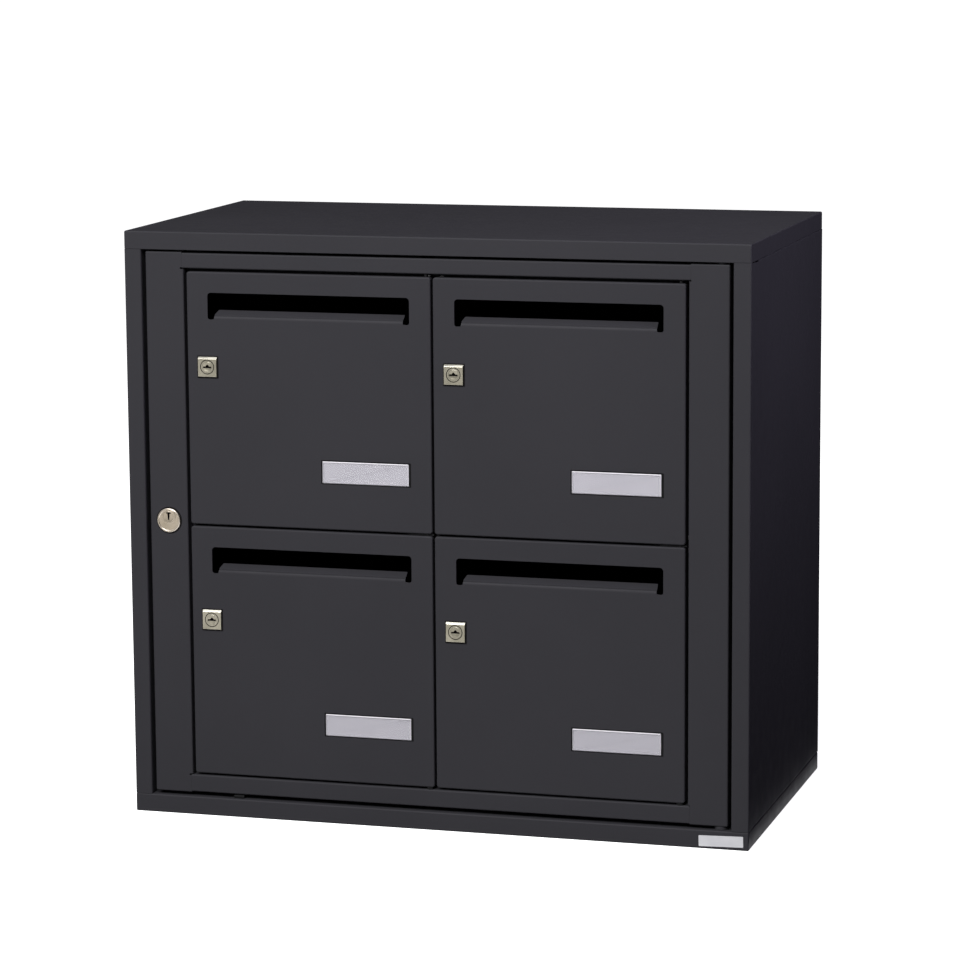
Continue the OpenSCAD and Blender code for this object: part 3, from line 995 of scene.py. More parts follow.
# Black plastic, with a painted highlight on its rounded bends and edges.
MOULDED_BLACK = Finish(
    name="moulded_black_plastic",
    slot="black_plastic",
    colour=(0.0050, 0.0050, 0.0053),
    other=(0.0070, 0.0070, 0.0075),
    fold_colour=(0.014, 0.014, 0.015),
    specular=0.04,
    smoothest=0.5,
    roughest=0.65,
    scale=2200.0,
    bump=0.3,
    bump_depth=0.03 * MM,
    fold_share=0.4,
)
NAME_CARD = Finish(
    name="pale_name_card",
    slot="card",
    colour=(0.350, 0.339, 0.368),
    other=(0.395, 0.385, 0.412),
    fold_colour=(0.5, 0.5, 0.54),
    specular=0.2,
    smoothest=0.6,
    roughest=0.75,
    scale=3000.0,
    bump=0.03,
    bump_depth=0.01 * MM,
    broad=14.0,
    fine=160.0,
)
CLEAR_ACRYLIC = Finish(
    name="clear_acrylic",
    slot="clear_plastic",
    colour=(0.56, 0.55, 0.60),
    other=(0.60, 0.59, 0.64),
    fold_colour=(0.9, 0.89, 0.93),
    smoothest=0.06,
    roughest=0.14,
    scale=120.0,
    bump=0.02,
    bump_depth=0.02 * MM,
    broad=12.0,
    fine=60.0,
    alpha=0.22,
)
# Near-white colour painted onto the window's bevelled edges as a highlight.
ACRYLIC_EDGE_HIGHLIGHT = Finish(
    name="polished_acrylic_edge",
    slot="clear_plastic",
    colour=(0.84, 0.82, 0.86),
    other=(0.88, 0.86, 0.9),
    fold_colour=(0.9, 0.9, 0.93),
    smoothest=0.05,
    roughest=0.12,
    scale=400.0,
    bump=0.05,
    bump_depth=0.02 * MM,
    broad=20.0,
    fine=300.0,
    alpha=0.7,
)
# Silver foil, with a painted highlight on its rounded bends and edges.
SILVER_FOIL = Finish(
    name="silver_foil",
    slot="silver_label",
    colour=(0.36, 0.36, 0.375),
    other=(0.42, 0.42, 0.43),
    fold_colour=(0.6, 0.6, 0.61),
    metallic=0.55,
    smoothest=0.38,
    roughest=0.5,
    scale=1800.0,
    bump=0.12,
    bump_depth=0.01 * MM,
    broad=50.0,
    fine=1100.0,
    fold_share=0.6,
)
FINISHES = (
    POWDER_COAT,
    SATIN_NICKEL,
    WARM_NICKEL,
    ZINC_PLATE,
    PAINTED_SHADE,
    BLACKENED_STEEL,
    MOULDED_BLACK,
    NAME_CARD,
    CLEAR_ACRYLIC,
    ACRYLIC_EDGE_HIGHLIGHT,
    SILVER_FOIL,
)


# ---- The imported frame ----


class Cabinet:
    """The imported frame, with what each new piece needs to join it."""

    def __init__(self, frame: dict) -> None:
        """Reads the bodies and slots, and builds the finishes.
        """
        record = frame["record"]
        self.nodes: dict[str, bpy.types.Object] = frame["nodes"]
        self.body_of = {
            node: body
            for body, members in record["behaviour"]["bodies"].items()
            for node in members
        }
        self.slot_of = {row["node"]: row["material_slot"] for row in record["subparts"]}
        effects = SurfaceEffects()
        self.materials = {finish.name: finish.build(effects) for finish in FINISHES}

    def install(self, piece: bpy.types.Object, node: str, finish: Finish) -> None:
        """Dresses a piece and puts it in the place of a node.

        Args:
            piece: The finished piece.
            node: The node that it stands for.
            finish: Its finish.
        """
        piece.data.materials.clear()
        piece.data.materials.append(self.materials[finish.name])
        self.hand_over(piece, node)

    def darken_keyway(self, plug: bpy.types.Object, front: float, depth: float) -> None:
        """Paints shade onto the walls of a plug's keyway, with the near-black material.

        Args:
            plug: The dressed plug, turned about the Y axis.
            front: The plane of its front.
            depth: The depth of the keyway.
        """
        low = [min(vertex.co[axis] for vertex in plug.data.vertices) for axis in range(3)]
        high = [max(vertex.co[axis] for vertex in plug.data.vertices) for axis in range(3)]
        middle_x, middle_z = (low[0] + high[0]) / 2, (low[2] + high[2]) / 2
        reach = (high[0] - low[0]) / 2 - 0.6 * MM
        plug.data.materials.append(self.materials[PAINTED_SHADE.name])
        for face in plug.data.polygons:
            away = math.hypot(face.center.x - middle_x, face.center.z - middle_z)
            inside = front + 0.5 * MM < face.center.y < front + depth + 0.1 * MM
            if inside and away < reach:
                face.material_index = 1

    def hand_over(self, piece: bpy.types.Object, node: str) -> None:
        """Puts a dressed piece in the place of a node.

        Args:
            piece: The dressed piece.
            node: The node that it stands for.
        """
        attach(piece, self.body_of[node])
        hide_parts(node)
        LOG.info("%s: %d faces, stands for %s", piece.name, len(piece.data.polygons), node)

    def refine(self, node: str, finish: Finish, width: float = 0.25 * MM) -> bpy.types.Object:
        """Makes a softened copy of a node's shape and puts it in the node's place.

        Args:
            node: The node to copy.
            finish: The finish of the copy.
            width: The width of its softened edges.

        Returns:
            The copy.
        """
        source = self.nodes[node]
        piece = bpy.data.objects.new(f"{node}_piece", source.data.copy())
        bpy.context.scene.collection.objects.link(piece)
        with editing(piece, "VERT"):
            bpy.ops.mesh.select_all(action="SELECT")
            bpy.ops.mesh.remove_doubles(threshold=0.002 * MM)
            bpy.ops.mesh.dissolve_limited(angle_limit=math.radians(0.5))
        soften(piece, width, 2, 30.0)
        self.install(piece, node, finish)
        return piece


# ---- Cabinet shell ----


@dataclass
class TopCap:
    """Folded tray on top of the cabinet, open underneath inside a lower return."""

    side_flange: float = 15 * MM
    front_flange: float = 25 * MM
    lower_bend: float = 0.7 * MM
    pin_place: tuple[float, float] = (318 * MM, -181.9 * MM)
    pin_radius: float = 3 * MM

    def build(self, cabinet: Cabinet) -> None:
        """Builds the cap.

        Args:
            cabinet: The frame to join.
        """
        low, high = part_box("top_panel")
        left, right = low.x + self.side_flange, high.x - self.side_flange
        front, back = low.y + self.front_flange, high.y - self.side_flange
        piece = add_block("top_cap", low, high)
        split_faces(
            piece,
            lambda centre, normal: normal.z < -0.5,
            [(0, left), (0, right), (1, front), (1, back)],
        )
        delete_faces(
            piece,
            lambda centre, normal: normal.z < -0.5
            and left < centre.x < right
            and front < centre.y < back,
        )
        round_corners(
            piece,
            lambda start, end: abs(start.z - low.z) < NEAR
            and abs(end.z - low.z) < NEAR
            and all(
                min(abs(point.x - low.x), abs(point.x - high.x)) < NEAR
                or min(abs(point.y - low.y), abs(point.y - high.y)) < NEAR
                for point in (start, end, (start + end) / 2)
            ),
            self.lower_bend,
            SHEET.steps,
        )
        SHEET.fold(piece)
        SHEET.thicken(piece)
        x, y = self.pin_place
        hole = add_rod("hole", self.pin_radius, (x, y, low.z - MM), (x, y, low.z + 3 * MM))
        combine(piece, [hole])
        SHEET.finish(piece)
        cabinet.install(piece, "top_panel", POWDER_COAT)


@dataclass
class BaseTray:
    """Folded tray under the cabinet, with bolt holes in its lower return."""

    flange: float = 25 * MM
    bolt_inset: float = 50 * MM
    bolt_radius: float = 4.5 * MM
    pin_place: tuple[float, float] = (318 * MM, -181.9 * MM)
    pin_radius: float = 3 * MM

    def build(self, cabinet: Cabinet) -> None:
        """Builds the tray.

        Args:
            cabinet: The frame to join.
        """
        low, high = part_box("base_panel")
        left, right = low.x + self.flange, high.x - self.flange
        front, back = low.y + self.flange, high.y - self.flange
        piece = add_block("base_tray", low, high)
        split_faces(
            piece,
            lambda centre, normal: normal.z < -0.5,
            [(0, left), (0, right), (1, front), (1, back)],
        )
        delete_faces(
            piece,
            lambda centre, normal: normal.z < -0.5
            and left < centre.x < right
            and front < centre.y < back,
        )
        SHEET.fold(piece)
        SHEET.thicken(piece)
        x, y = self.pin_place
        holes = [add_rod("hole", self.pin_radius, (x, y, high.z - 3 * MM), (x, y, high.z + MM))]
        bolt_x, bolt_y = high.x - self.bolt_inset, high.y - self.flange / 2
        for sign_x in (-1, 1):
            for sign_y in (-1, 1):
                x, y = sign_x * bolt_x, sign_y * bolt_y
                holes.append(add_rod("hole", self.bolt_radius, (x, y, -MM), (x, y, 3 * MM)))
        combine(piece, holes)
        SHEET.finish(piece)
        cabinet.install(piece, "base_panel", POWDER_COAT)


@dataclass
class SidePanel:
    """Side sheet with a front flange and its return, and plain flanges behind."""

    side: Side
    strike_depth: float = 25 * MM
    flange: float = 15 * MM
    setback: float = 36 * MM

    def build(self, cabinet: Cabinet) -> None:
        """Builds the panel.

        Args:
            cabinet: The frame to join.
        """
        node = f"{self.side.word}_side_panel"
        low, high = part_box(node)
        sign = self.side.value
        outer = high.x if sign > 0 else low.x
        inner_side = outer - sign * self.flange
        strike = low.y + self.strike_depth
        inner_front = low.y + self.setback
        piece = add_block(f"{self.side.word}_side", low, high)
        split_faces(piece, lambda centre, normal: sign * normal.x < -0.5, [(1, strike)])
        split_faces(piece, lambda centre, normal: normal.y > 0.5, [(0, inner_side)])
        split_faces(
            piece,
            lambda centre, normal: abs(normal.z) > 0.5,
            [(0, inner_side), (1, inner_front)],
        )

        def unwanted(centre: Vector, normal: Vector) -> bool:
            """Says whether a face of the block isn't part of the panel."""
            inside = sign * centre.x < sign * inner_side
            if sign * normal.x < -0.5:
                return centre.y > strike
            if normal.y > 0.5:
                return inside
            if abs(normal.z) > 0.5:
                return inside or centre.y < inner_front
            return False

        delete_faces(piece, unwanted)
        SHEET.fold(piece)
        SHEET.thicken(piece)
        SHEET.finish(piece)
        cabinet.install(piece, node, POWDER_COAT)


@dataclass
class CabinetShell:
    """The fixed outer sheets and what is inside them."""

    bush_place: tuple[float, float] = (318 * MM, -181.9 * MM)
    bush_flange: float = 7.4 * MM
    bush_bore: float = 3.03 * MM
    bush_play: float = 0.05 * MM

    def build(self, cabinet: Cabinet) -> None:
        """Builds the cabinet's own pieces.

        Args:
            cabinet: The frame to join.
        """
        TopCap().build(cabinet)
        BaseTray().build(cabinet)
        for side in Side:
            SidePanel(side).build(cabinet)
        for node in ("back_panel", "centre_partition", "left_shelf", "right_shelf"):
            cabinet.refine(node, POWDER_COAT)
        self._hinge_bushes(cabinet)
        cabinet.refine("collective_hinge_pins", ZINC_PLATE, 0.4 * MM)
        cabinet.refine("shelf_rivets", ZINC_PLATE, 0.5 * MM)
        cabinet.refine("glide_pad", MOULDED_BLACK, 0.5 * MM)

    def _hinge_bushes(self, cabinet: Cabinet) -> None:
        """Builds the flanged bushes round the pins of the collective front.

        Args:
            cabinet: The frame to join.
        """
        x, y = self.bush_place
        floor, ceiling = (point.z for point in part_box("collective_hinge_bushes"))
        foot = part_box("right_stile")[0].z
        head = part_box("right_stile")[1].z
        bushes = []
        for low, high in ((floor, foot), (head, ceiling)):
            height, edge = high - low - self.bush_play, 0.3 * MM
            start = low if low == floor else low + self.bush_play
            profile = [
                (self.bush_bore, 0.0),
                (self.bush_flange - edge, 0.0),
                (self.bush_flange, edge),
                (self.bush_flange, height - edge),
                (self.bush_flange - edge, height),
                (self.bush_bore, height),
                (self.bush_bore, 0.0),
            ]
            bushes.append(lathe("bush", profile, (x, y, start), Z_AXIS, 64))
        bush = join(bushes, "hinge_bushes")
        shade(bush, 30)
        cabinet.install(bush, "collective_hinge_bushes", POWDER_COAT)


# ---- Collective front ----


@dataclass
class FrontPlan:
    """Lines that the pieces of the collective front share, read from the frame."""

    lip_width: float = 12.5 * MM
    tab_reach: float = 8 * MM
    seam: float = 0.06 * MM
    face: float = field(init=False)
    depth: float = field(init=False)
    jamb_x: float = field(init=False)
    rail_x: float = field(init=False)
    sill_z: float = field(init=False)
    head_z: float = field(init=False)

    def __post_init__(self) -> None:
        """Reads the lines from the boxes of stiles and rails."""
        stile_low, stile_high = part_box("right_stile")
        top_low, top_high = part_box("top_rail")
        self.face = stile_low.y
        self.depth = stile_high.y - stile_low.y
        self.jamb_x = stile_low.x + self.lip_width
        self.rail_x = top_high.x - self.tab_reach
        self.head_z = top_low.z + self.lip_width
        self.sill_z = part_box("bottom_rail")[1].z - self.lip_width

    @property
    def lip_front(self) -> float:
        """Gives the plane of the front of the rear lips."""
        return self.face + self.depth - SHEET.thickness


@dataclass
class Stile:
    """Upright of the collective front: face, outer and inner flange, rear lip and end flanges."""

    side: Side
    plan: FrontPlan
    relief_radius: float = 1.0 * MM
    saw_cut: float = 2.6 * MM
    hinge_place: tuple[float, float] = (318 * MM, -181.9 * MM)
    hinge_radius: float = 3.05 * MM
    lock_place: tuple[float, float] = (-304.5 * MM, 332 * MM)
    lock_radius: float = 12 * MM

    def _shell(self, low: Vector, high: Vector) -> bpy.types.Object:
        """Builds the open shell.

        Args:
            low: The lowest corner of the node.
            high: The highest corner of the node.

        Returns:
            The shell.
        """
        plan, sign = self.plan, self.side.value
        outer = high.x if sign > 0 else low.x
        jamb = sign * plan.jamb_x
        piece = add_block(
            f"{self.side.word}_upright",
            (min(jamb, outer), low.y, low.z),
            (max(jamb, outer), high.y, high.z),
        )
        ends = [(2, plan.sill_z), (2, plan.head_z)]
        split_faces(
            piece, lambda centre, normal: sign * normal.x < -0.5, [(1, plan.lip_front), *ends]
        )
        split_faces(
            piece, lambda centre, normal: normal.y < -0.5, [(0, sign * plan.rail_x), *ends]
        )
        split_faces(
            piece, lambda centre, normal: abs(normal.z) > 0.5, [(0, sign * plan.rail_x)]
        )

        def unwanted(centre: Vector, normal: Vector) -> bool:
            """Says whether a face of the block isn't part of the stile."""
            beyond = not plan.sill_z < centre.z < plan.head_z
            lapped = abs(centre.x) < plan.rail_x
            if normal.y > 0.5:
                return True
            if sign * normal.x < -0.5:
                return beyond or centre.y > plan.lip_front
            if normal.y < -0.5:
                return beyond and lapped
            return abs(normal.z) > 0.5 and lapped

        delete_faces(piece, unwanted)
        pull_edges(
            piece,
            lambda start, end: all(
                abs(point.x - jamb) < NEAR and abs(point.y - plan.lip_front) < NEAR
                for point in (start, end)
            ),
            (-sign * plan.lip_width, 0, 0),
        )
        return piece

    def build(self, cabinet: Cabinet) -> None:
        """Builds the stile.

        Args:
            cabinet: The frame to join.
        """
        node = f"{self.side.word}_stile"
        low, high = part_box(node)
        plan, sign = self.plan, self.side.value
        piece = self._shell(low, high)
        SHEET.fold(piece)
        SHEET.thicken(piece)
        relief_x = plan.rail_x - self.relief_radius / 2
        relief_end = relief_x + (self.saw_cut if self.side is Side.LEFT else 0.1 * MM)
        holes = []
        for z in (plan.sill_z, plan.head_z):
            sides = sorted((sign * (relief_x - self.relief_radius), sign * relief_end))
            holes.append(
                rounded_block(
                    "relief",
                    (sides[0], low.y - MM, z - self.relief_radius),
                    (sides[1] + self.relief_radius, low.y + 3 * MM, z + self.relief_radius),
                    1,
                    0.9 * self.relief_radius,
                )
            )
        if self.side is Side.RIGHT:
            x, y = self.hinge_place
            for start, end in ((low.z - MM, low.z + 3 * MM), (high.z - 3 * MM, high.z + MM)):
                holes.append(add_rod("hole", self.hinge_radius, (x, y, start), (x, y, end)))
        else:
            x, z = self.lock_place
            holes.append(
                add_rod("hole", self.lock_radius, (x, low.y - MM, z), (x, low.y + 3 * MM, z), 64)
            )
        combine(piece, holes)
        SHEET.finish(piece)
        cabinet.install(piece, node, POWDER_COAT)


@dataclass
class Rail:
    """Cross piece of the collective front, between and slightly behind the stiles' ends."""

    place: RailPlace
    plan: FrontPlan
    pin_places: Sequence[tuple[float, float]]
    pin_radius: float = 2 * MM
    lip_end: float = 270 * MM

    def _shell(self, low: Vector, high: Vector, inner: float, outer: float) -> bpy.types.Object:
        """Builds the open shell.

        Args:
            low: The lowest corner of the node.
            high: The highest corner of the node.
            inner: The height of the flange on the doors' side.
            outer: The height of the other flange.

        Returns:
            The shell.
        """
        plan, up = self.plan, self.place.value
        half = plan.rail_x - plan.seam
        piece = add_block(
            f"{self.place.word}_cross_rail",
            (-half, low.y, min(inner, outer)),
            (half, high.y, max(inner, outer)),
        )
        split_faces(
            piece,
            lambda centre, normal: up * normal.z < -0.5,
            [(1, plan.lip_front), (0, -self.lip_end), (0, self.lip_end)],
        )
        delete_faces(
            piece,
            lambda centre, normal: normal.y > 0.5
            or abs(normal.x) > 0.5
            or (up * normal.z < -0.5 and centre.y > plan.lip_front),
        )
        pull_edges(
            piece,
            lambda start, end: all(
                abs(point.z - inner) < NEAR
                and abs(point.y - plan.lip_front) < NEAR
                and abs(point.x) < self.lip_end + NEAR
                for point in (start, end)
            ),
            (0, 0, -up * plan.lip_width),
        )
        return piece

    def build(self, cabinet: Cabinet) -> None:
        """Builds the rail.

        Args:
            cabinet: The frame to join.
        """
        node = f"{self.place.word}_rail"
        low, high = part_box(node)
        plan, up = self.plan, self.place.value
        inner = plan.head_z if up > 0 else plan.sill_z
        outer = high.z if up > 0 else low.z
        piece = self._shell(low, high, inner, outer)
        SHEET.fold(piece)
        SHEET.thicken(piece)
        holes = [
            add_rod("hole", self.pin_radius, (x, y, inner - 3 * MM), (x, y, inner + 3 * MM))
            for x, y in self.pin_places
        ]
        combine(piece, holes)
        sheet = SHEET.thickness
        tabs = []
        for sign in (-1, 1):
            middle = sign * plan.rail_x
            tab = add_block(
                "weld_tab",
                (middle - plan.tab_reach, low.y + sheet, min(inner, outer) + 2 * sheet),
                (middle + plan.tab_reach, low.y + 2 * sheet, max(inner, outer) - 2 * sheet),
            )
            tabs.append(tab)
        join([piece, *tabs], piece.name)
        SHEET.finish(piece)
        cabinet.install(piece, node, POWDER_COAT)


@dataclass
class CollectiveLock:
    """Round lock in the left stile, with its plug above the middle of its face."""

    centre: tuple[float, float] = (-304.5 * MM, 332 * MM)
    face_radius: float = 13.65 * MM
    body_radius: float = 12 * MM
    plug_radius: float = 6.5 * MM
    plug_rise: float = 4 * MM
    proud: float = 2.5 * MM
    # Dark rim round the disc that stands in for the shade around it.
    seal: float = 1.1 * MM
    seal_thickness: float = 0.6 * MM
    play: float = 0.05 * MM
    length: float = 18 * MM
    plug_end: float = 23.4 * MM
    cam_thickness: float = 2 * MM
    key_depth: float = 4 * MM

    def build(self, cabinet: Cabinet, face: float) -> None:
        """Builds the lock.

        Args:
            cabinet: The frame to join.
            face: The plane of the collective front.
        """
        x, z = self.centre
        at = Vector((x, face, z))
        rim = self.face_radius
        edge = 1.6 * MM
        profile = [
            (0.0, -self.proud + 0.45 * MM),
            (rim - 2.5 * MM, -self.proud + 0.45 * MM),
            (rim - 2.1 * MM, -self.proud + 0.1 * MM),
            (rim - 1.9 * MM, -self.proud),
            *arc(edge, (rim - edge, -self.proud + edge), -90, 0, 8),
            # The dark rim round the disc, standing in for the shade around it.
            (rim, -self.seal_thickness),
            (rim + self.seal, -self.seal_thickness),
            (rim + self.seal, 0.0),
            (0.0, 0.0),
        ]
        disc = lathe("collective_lock_body", profile, at, Y_AXIS, 96)
        plug_at = at + Z_AXIS * self.plug_rise
        boss_radius = self.plug_radius + 1.4 * MM
        boss = lathe(
            "boss",
            [
                (0.0, -self.proud),
                *arc(0.3 * MM, (boss_radius - 0.3 * MM, -self.proud + 0.3 * MM), -90, 0, 4),
                (boss_radius, -0.8 * MM),
                (0.0, -0.8 * MM),
            ],
            plug_at,
            Y_AXIS,
            72,
        )
        combine(disc, [boss], "UNION")
        thread = threaded_tube(
            "thread", self.body_radius, self.body_radius - 0.45 * MM, 0.0, self.length, at
        )
        bore = add_rod(
            "bore",
            self.plug_radius + self.play,
            plug_at - Y_AXIS * 4 * MM,
            plug_at + Y_AXIS * (self.length + 2 * MM),
            72,
        )
        combine(disc, [thread], "UNION")
        combine(disc, [bore])
        shade(disc, 30)
        cabinet.install(disc, "master_lock_body", WARM_NICKEL)
        # Painted shade: the rim round the disc gets the near-black material.
        disc.data.materials.append(cabinet.materials[PAINTED_SHADE.name])
        for face in disc.data.polygons:
            away = math.hypot(face.center.x - x, face.center.z - z)
            if away > rim - 0.02 * MM and face.center.y > at.y - 1.01 * self.seal_thickness:
                face.material_index = 1
        self._plug(cabinet, plug_at)
        cabinet.refine("master_lock_nut", ZINC_PLATE, 0.4 * MM)
        cabinet.refine("master_lock_cam", ZINC_PLATE, 0.3 * MM)

    def _plug(self, cabinet: Cabinet, at: Vector) -> None:
        """Builds the plug with its upright keyway.

        Args:
            cabinet: The frame to join.
            at: The middle of the plug in the plane of the front.
        """
        radius = self.plug_radius
        plug = plug_blank("collective_lock_plug", radius, self.proud, self.plug_end, 0.25 * MM, at)
        front = at.y - self.proud
        stem = add_block(
            "stem",
            (at.x - 1.35 * MM, front - MM, at.z - 3.6 * MM),
            (at.x + 1.35 * MM, front + self.key_depth, at.z + 4.2 * MM),
        )
        with editing(stem, "FACE") as mesh:
            pick_faces(mesh, lambda centre, normal: normal.z < -0.9)
            bpy.ops.transform.resize(value=(0.62, 1.0, 1.0), center_override=at)
        round_corners(stem, lambda start, end: abs(start.y - end.y) > MM, 0.4 * MM)
        bar = rounded_block(
            "bar",
            (at.x - 2.9 * MM, front - 1.2 * MM, at.z + 3.5 * MM),
            (at.x + 2.9 * MM, front + self.key_depth - 0.3 * MM, at.z + 4.9 * MM),
            1,
            0.4 * MM,
        )
        combine(plug, [stem])
        combine(plug, [bar])
        add_shank(plug, radius, at, self.plug_end, self.cam_thickness)
        shade(plug, 30)
        cabinet.install(plug, "master_lock_plug", WARM_NICKEL)
        cabinet.darken_keyway(plug, front, self.key_depth)


def threaded_tube(
    name: str, crest: float, root: float, start: float, end: float, at: Vector
) -> bpy.types.Object:
    """Builds the threaded barrel of a lock, solid inside.

    Args:
        name: The name of the barrel.
        crest: The radius at the top of the thread.
        root: The radius at the bottom of the thread.
        start: Where it starts behind the front.
        end: Where it ends.
        at: The point on its axis in the plane of the front.

    Returns:
        The barrel.
    """
    pitch = 1.0 * MM
    plain = 1.6 * MM
    turns = int((end - start - plain) / pitch)
    profile = [(0.0, start - 0.6 * MM), (crest, start - 0.6 * MM), (crest, start + plain)]
    for turn in range(turns):
        along = start + plain + turn * pitch
        profile.append((root, along + 0.5 * pitch))
        profile.append((crest, along + 0.98 * pitch))
    profile += [(root, end), (0.0, end)]
    return lathe(name, profile, at, Y_AXIS, 56)


def plug_blank(
    name: str, radius: float, proud: float, end: float, dish: float, at: Vector
) -> bpy.types.Object:
    """Builds a lock plug without its keyway, dished where the key goes in.

    Args:
        name: The name of the plug.
        radius: The plug's radius.
        proud: How far its front stands out.
        end: Where it ends behind the front.
        dish: The depth of the dish.
        at: The point on its axis in the plane of the front.

    Returns:
        The plug.
    """
    rim = radius - 1.0 * MM
    floor_radius = max(rim - 3.4 * dish, 0.3 * radius)
    profile = [
        (0.0, -proud + dish),
        (floor_radius, -proud + dish),
        (rim, -proud + 0.05 * MM),
        (rim + 0.2 * MM, -proud),
        *arc(0.3 * MM, (radius - 0.3 * MM, -proud + 0.3 * MM), -90, 0, 4),
        (radius, end),
        (0.0, end),
    ]
    return lathe(name, profile, at, Y_AXIS, 64)


def add_shank(
    plug: bpy.types.Object, radius: float, at: Vector, start: float, length: float
) -> None:
    """Adds the square shank that carries the cam to the back of a plug.

    Args:
        plug: The plug.
        radius: The plug's radius.
        at: The point on its axis in the plane of the front.
        start: Where the shank starts behind the front.
        length: The length of the shank.
    """
    half = 0.6 * radius
    y = at.y + start
    shank = rounded_block(
        "shank",
        (at.x - half, y - 0.5 * MM, at.z - half),
        (at.x + half, y + length, at.z + half),
        1,
        0.3 * MM,
    )
    combine(plug, [shank], "UNION")


@dataclass
class CollectiveFront:
    """The hinged frame that carries the compartment doors."""

    def build(self, cabinet: Cabinet) -> FrontPlan:
        """Builds the frame's pieces.

        Args:
            cabinet: The frame to join.

        Returns:
            The lines that its pieces share.
        """
        plan = FrontPlan()
        for side in Side:
            Stile(side, plan).build(cabinet)
        pins = []
        for name in ("upper_left", "upper_right"):
            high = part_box(f"{name}_door_panel")[1]
            pins.append((high.x - 6 * MM, plan.face + 4.5 * MM))
        for place in RailPlace:
            Rail(place, plan, pins).build(cabinet)
        for node in ("centre_mullion", "centre_transoms"):
            cabinet.refine(node, POWDER_COAT)
        cabinet.refine("door_pivot_brackets", BLACKENED_STEEL, 0.2 * MM)
        cabinet.refine("door_pivot_pins", BLACKENED_STEEL, 0.3 * MM)
        cabinet.refine("door_pivot_washers", MOULDED_BLACK, 0.2 * MM)
        cabinet.refine("frame_rivets", ZINC_PLATE, 0.5 * MM)
        CollectiveLock().build(cabinet, plan.face)
        return plan


# ---- Compartment doors ----


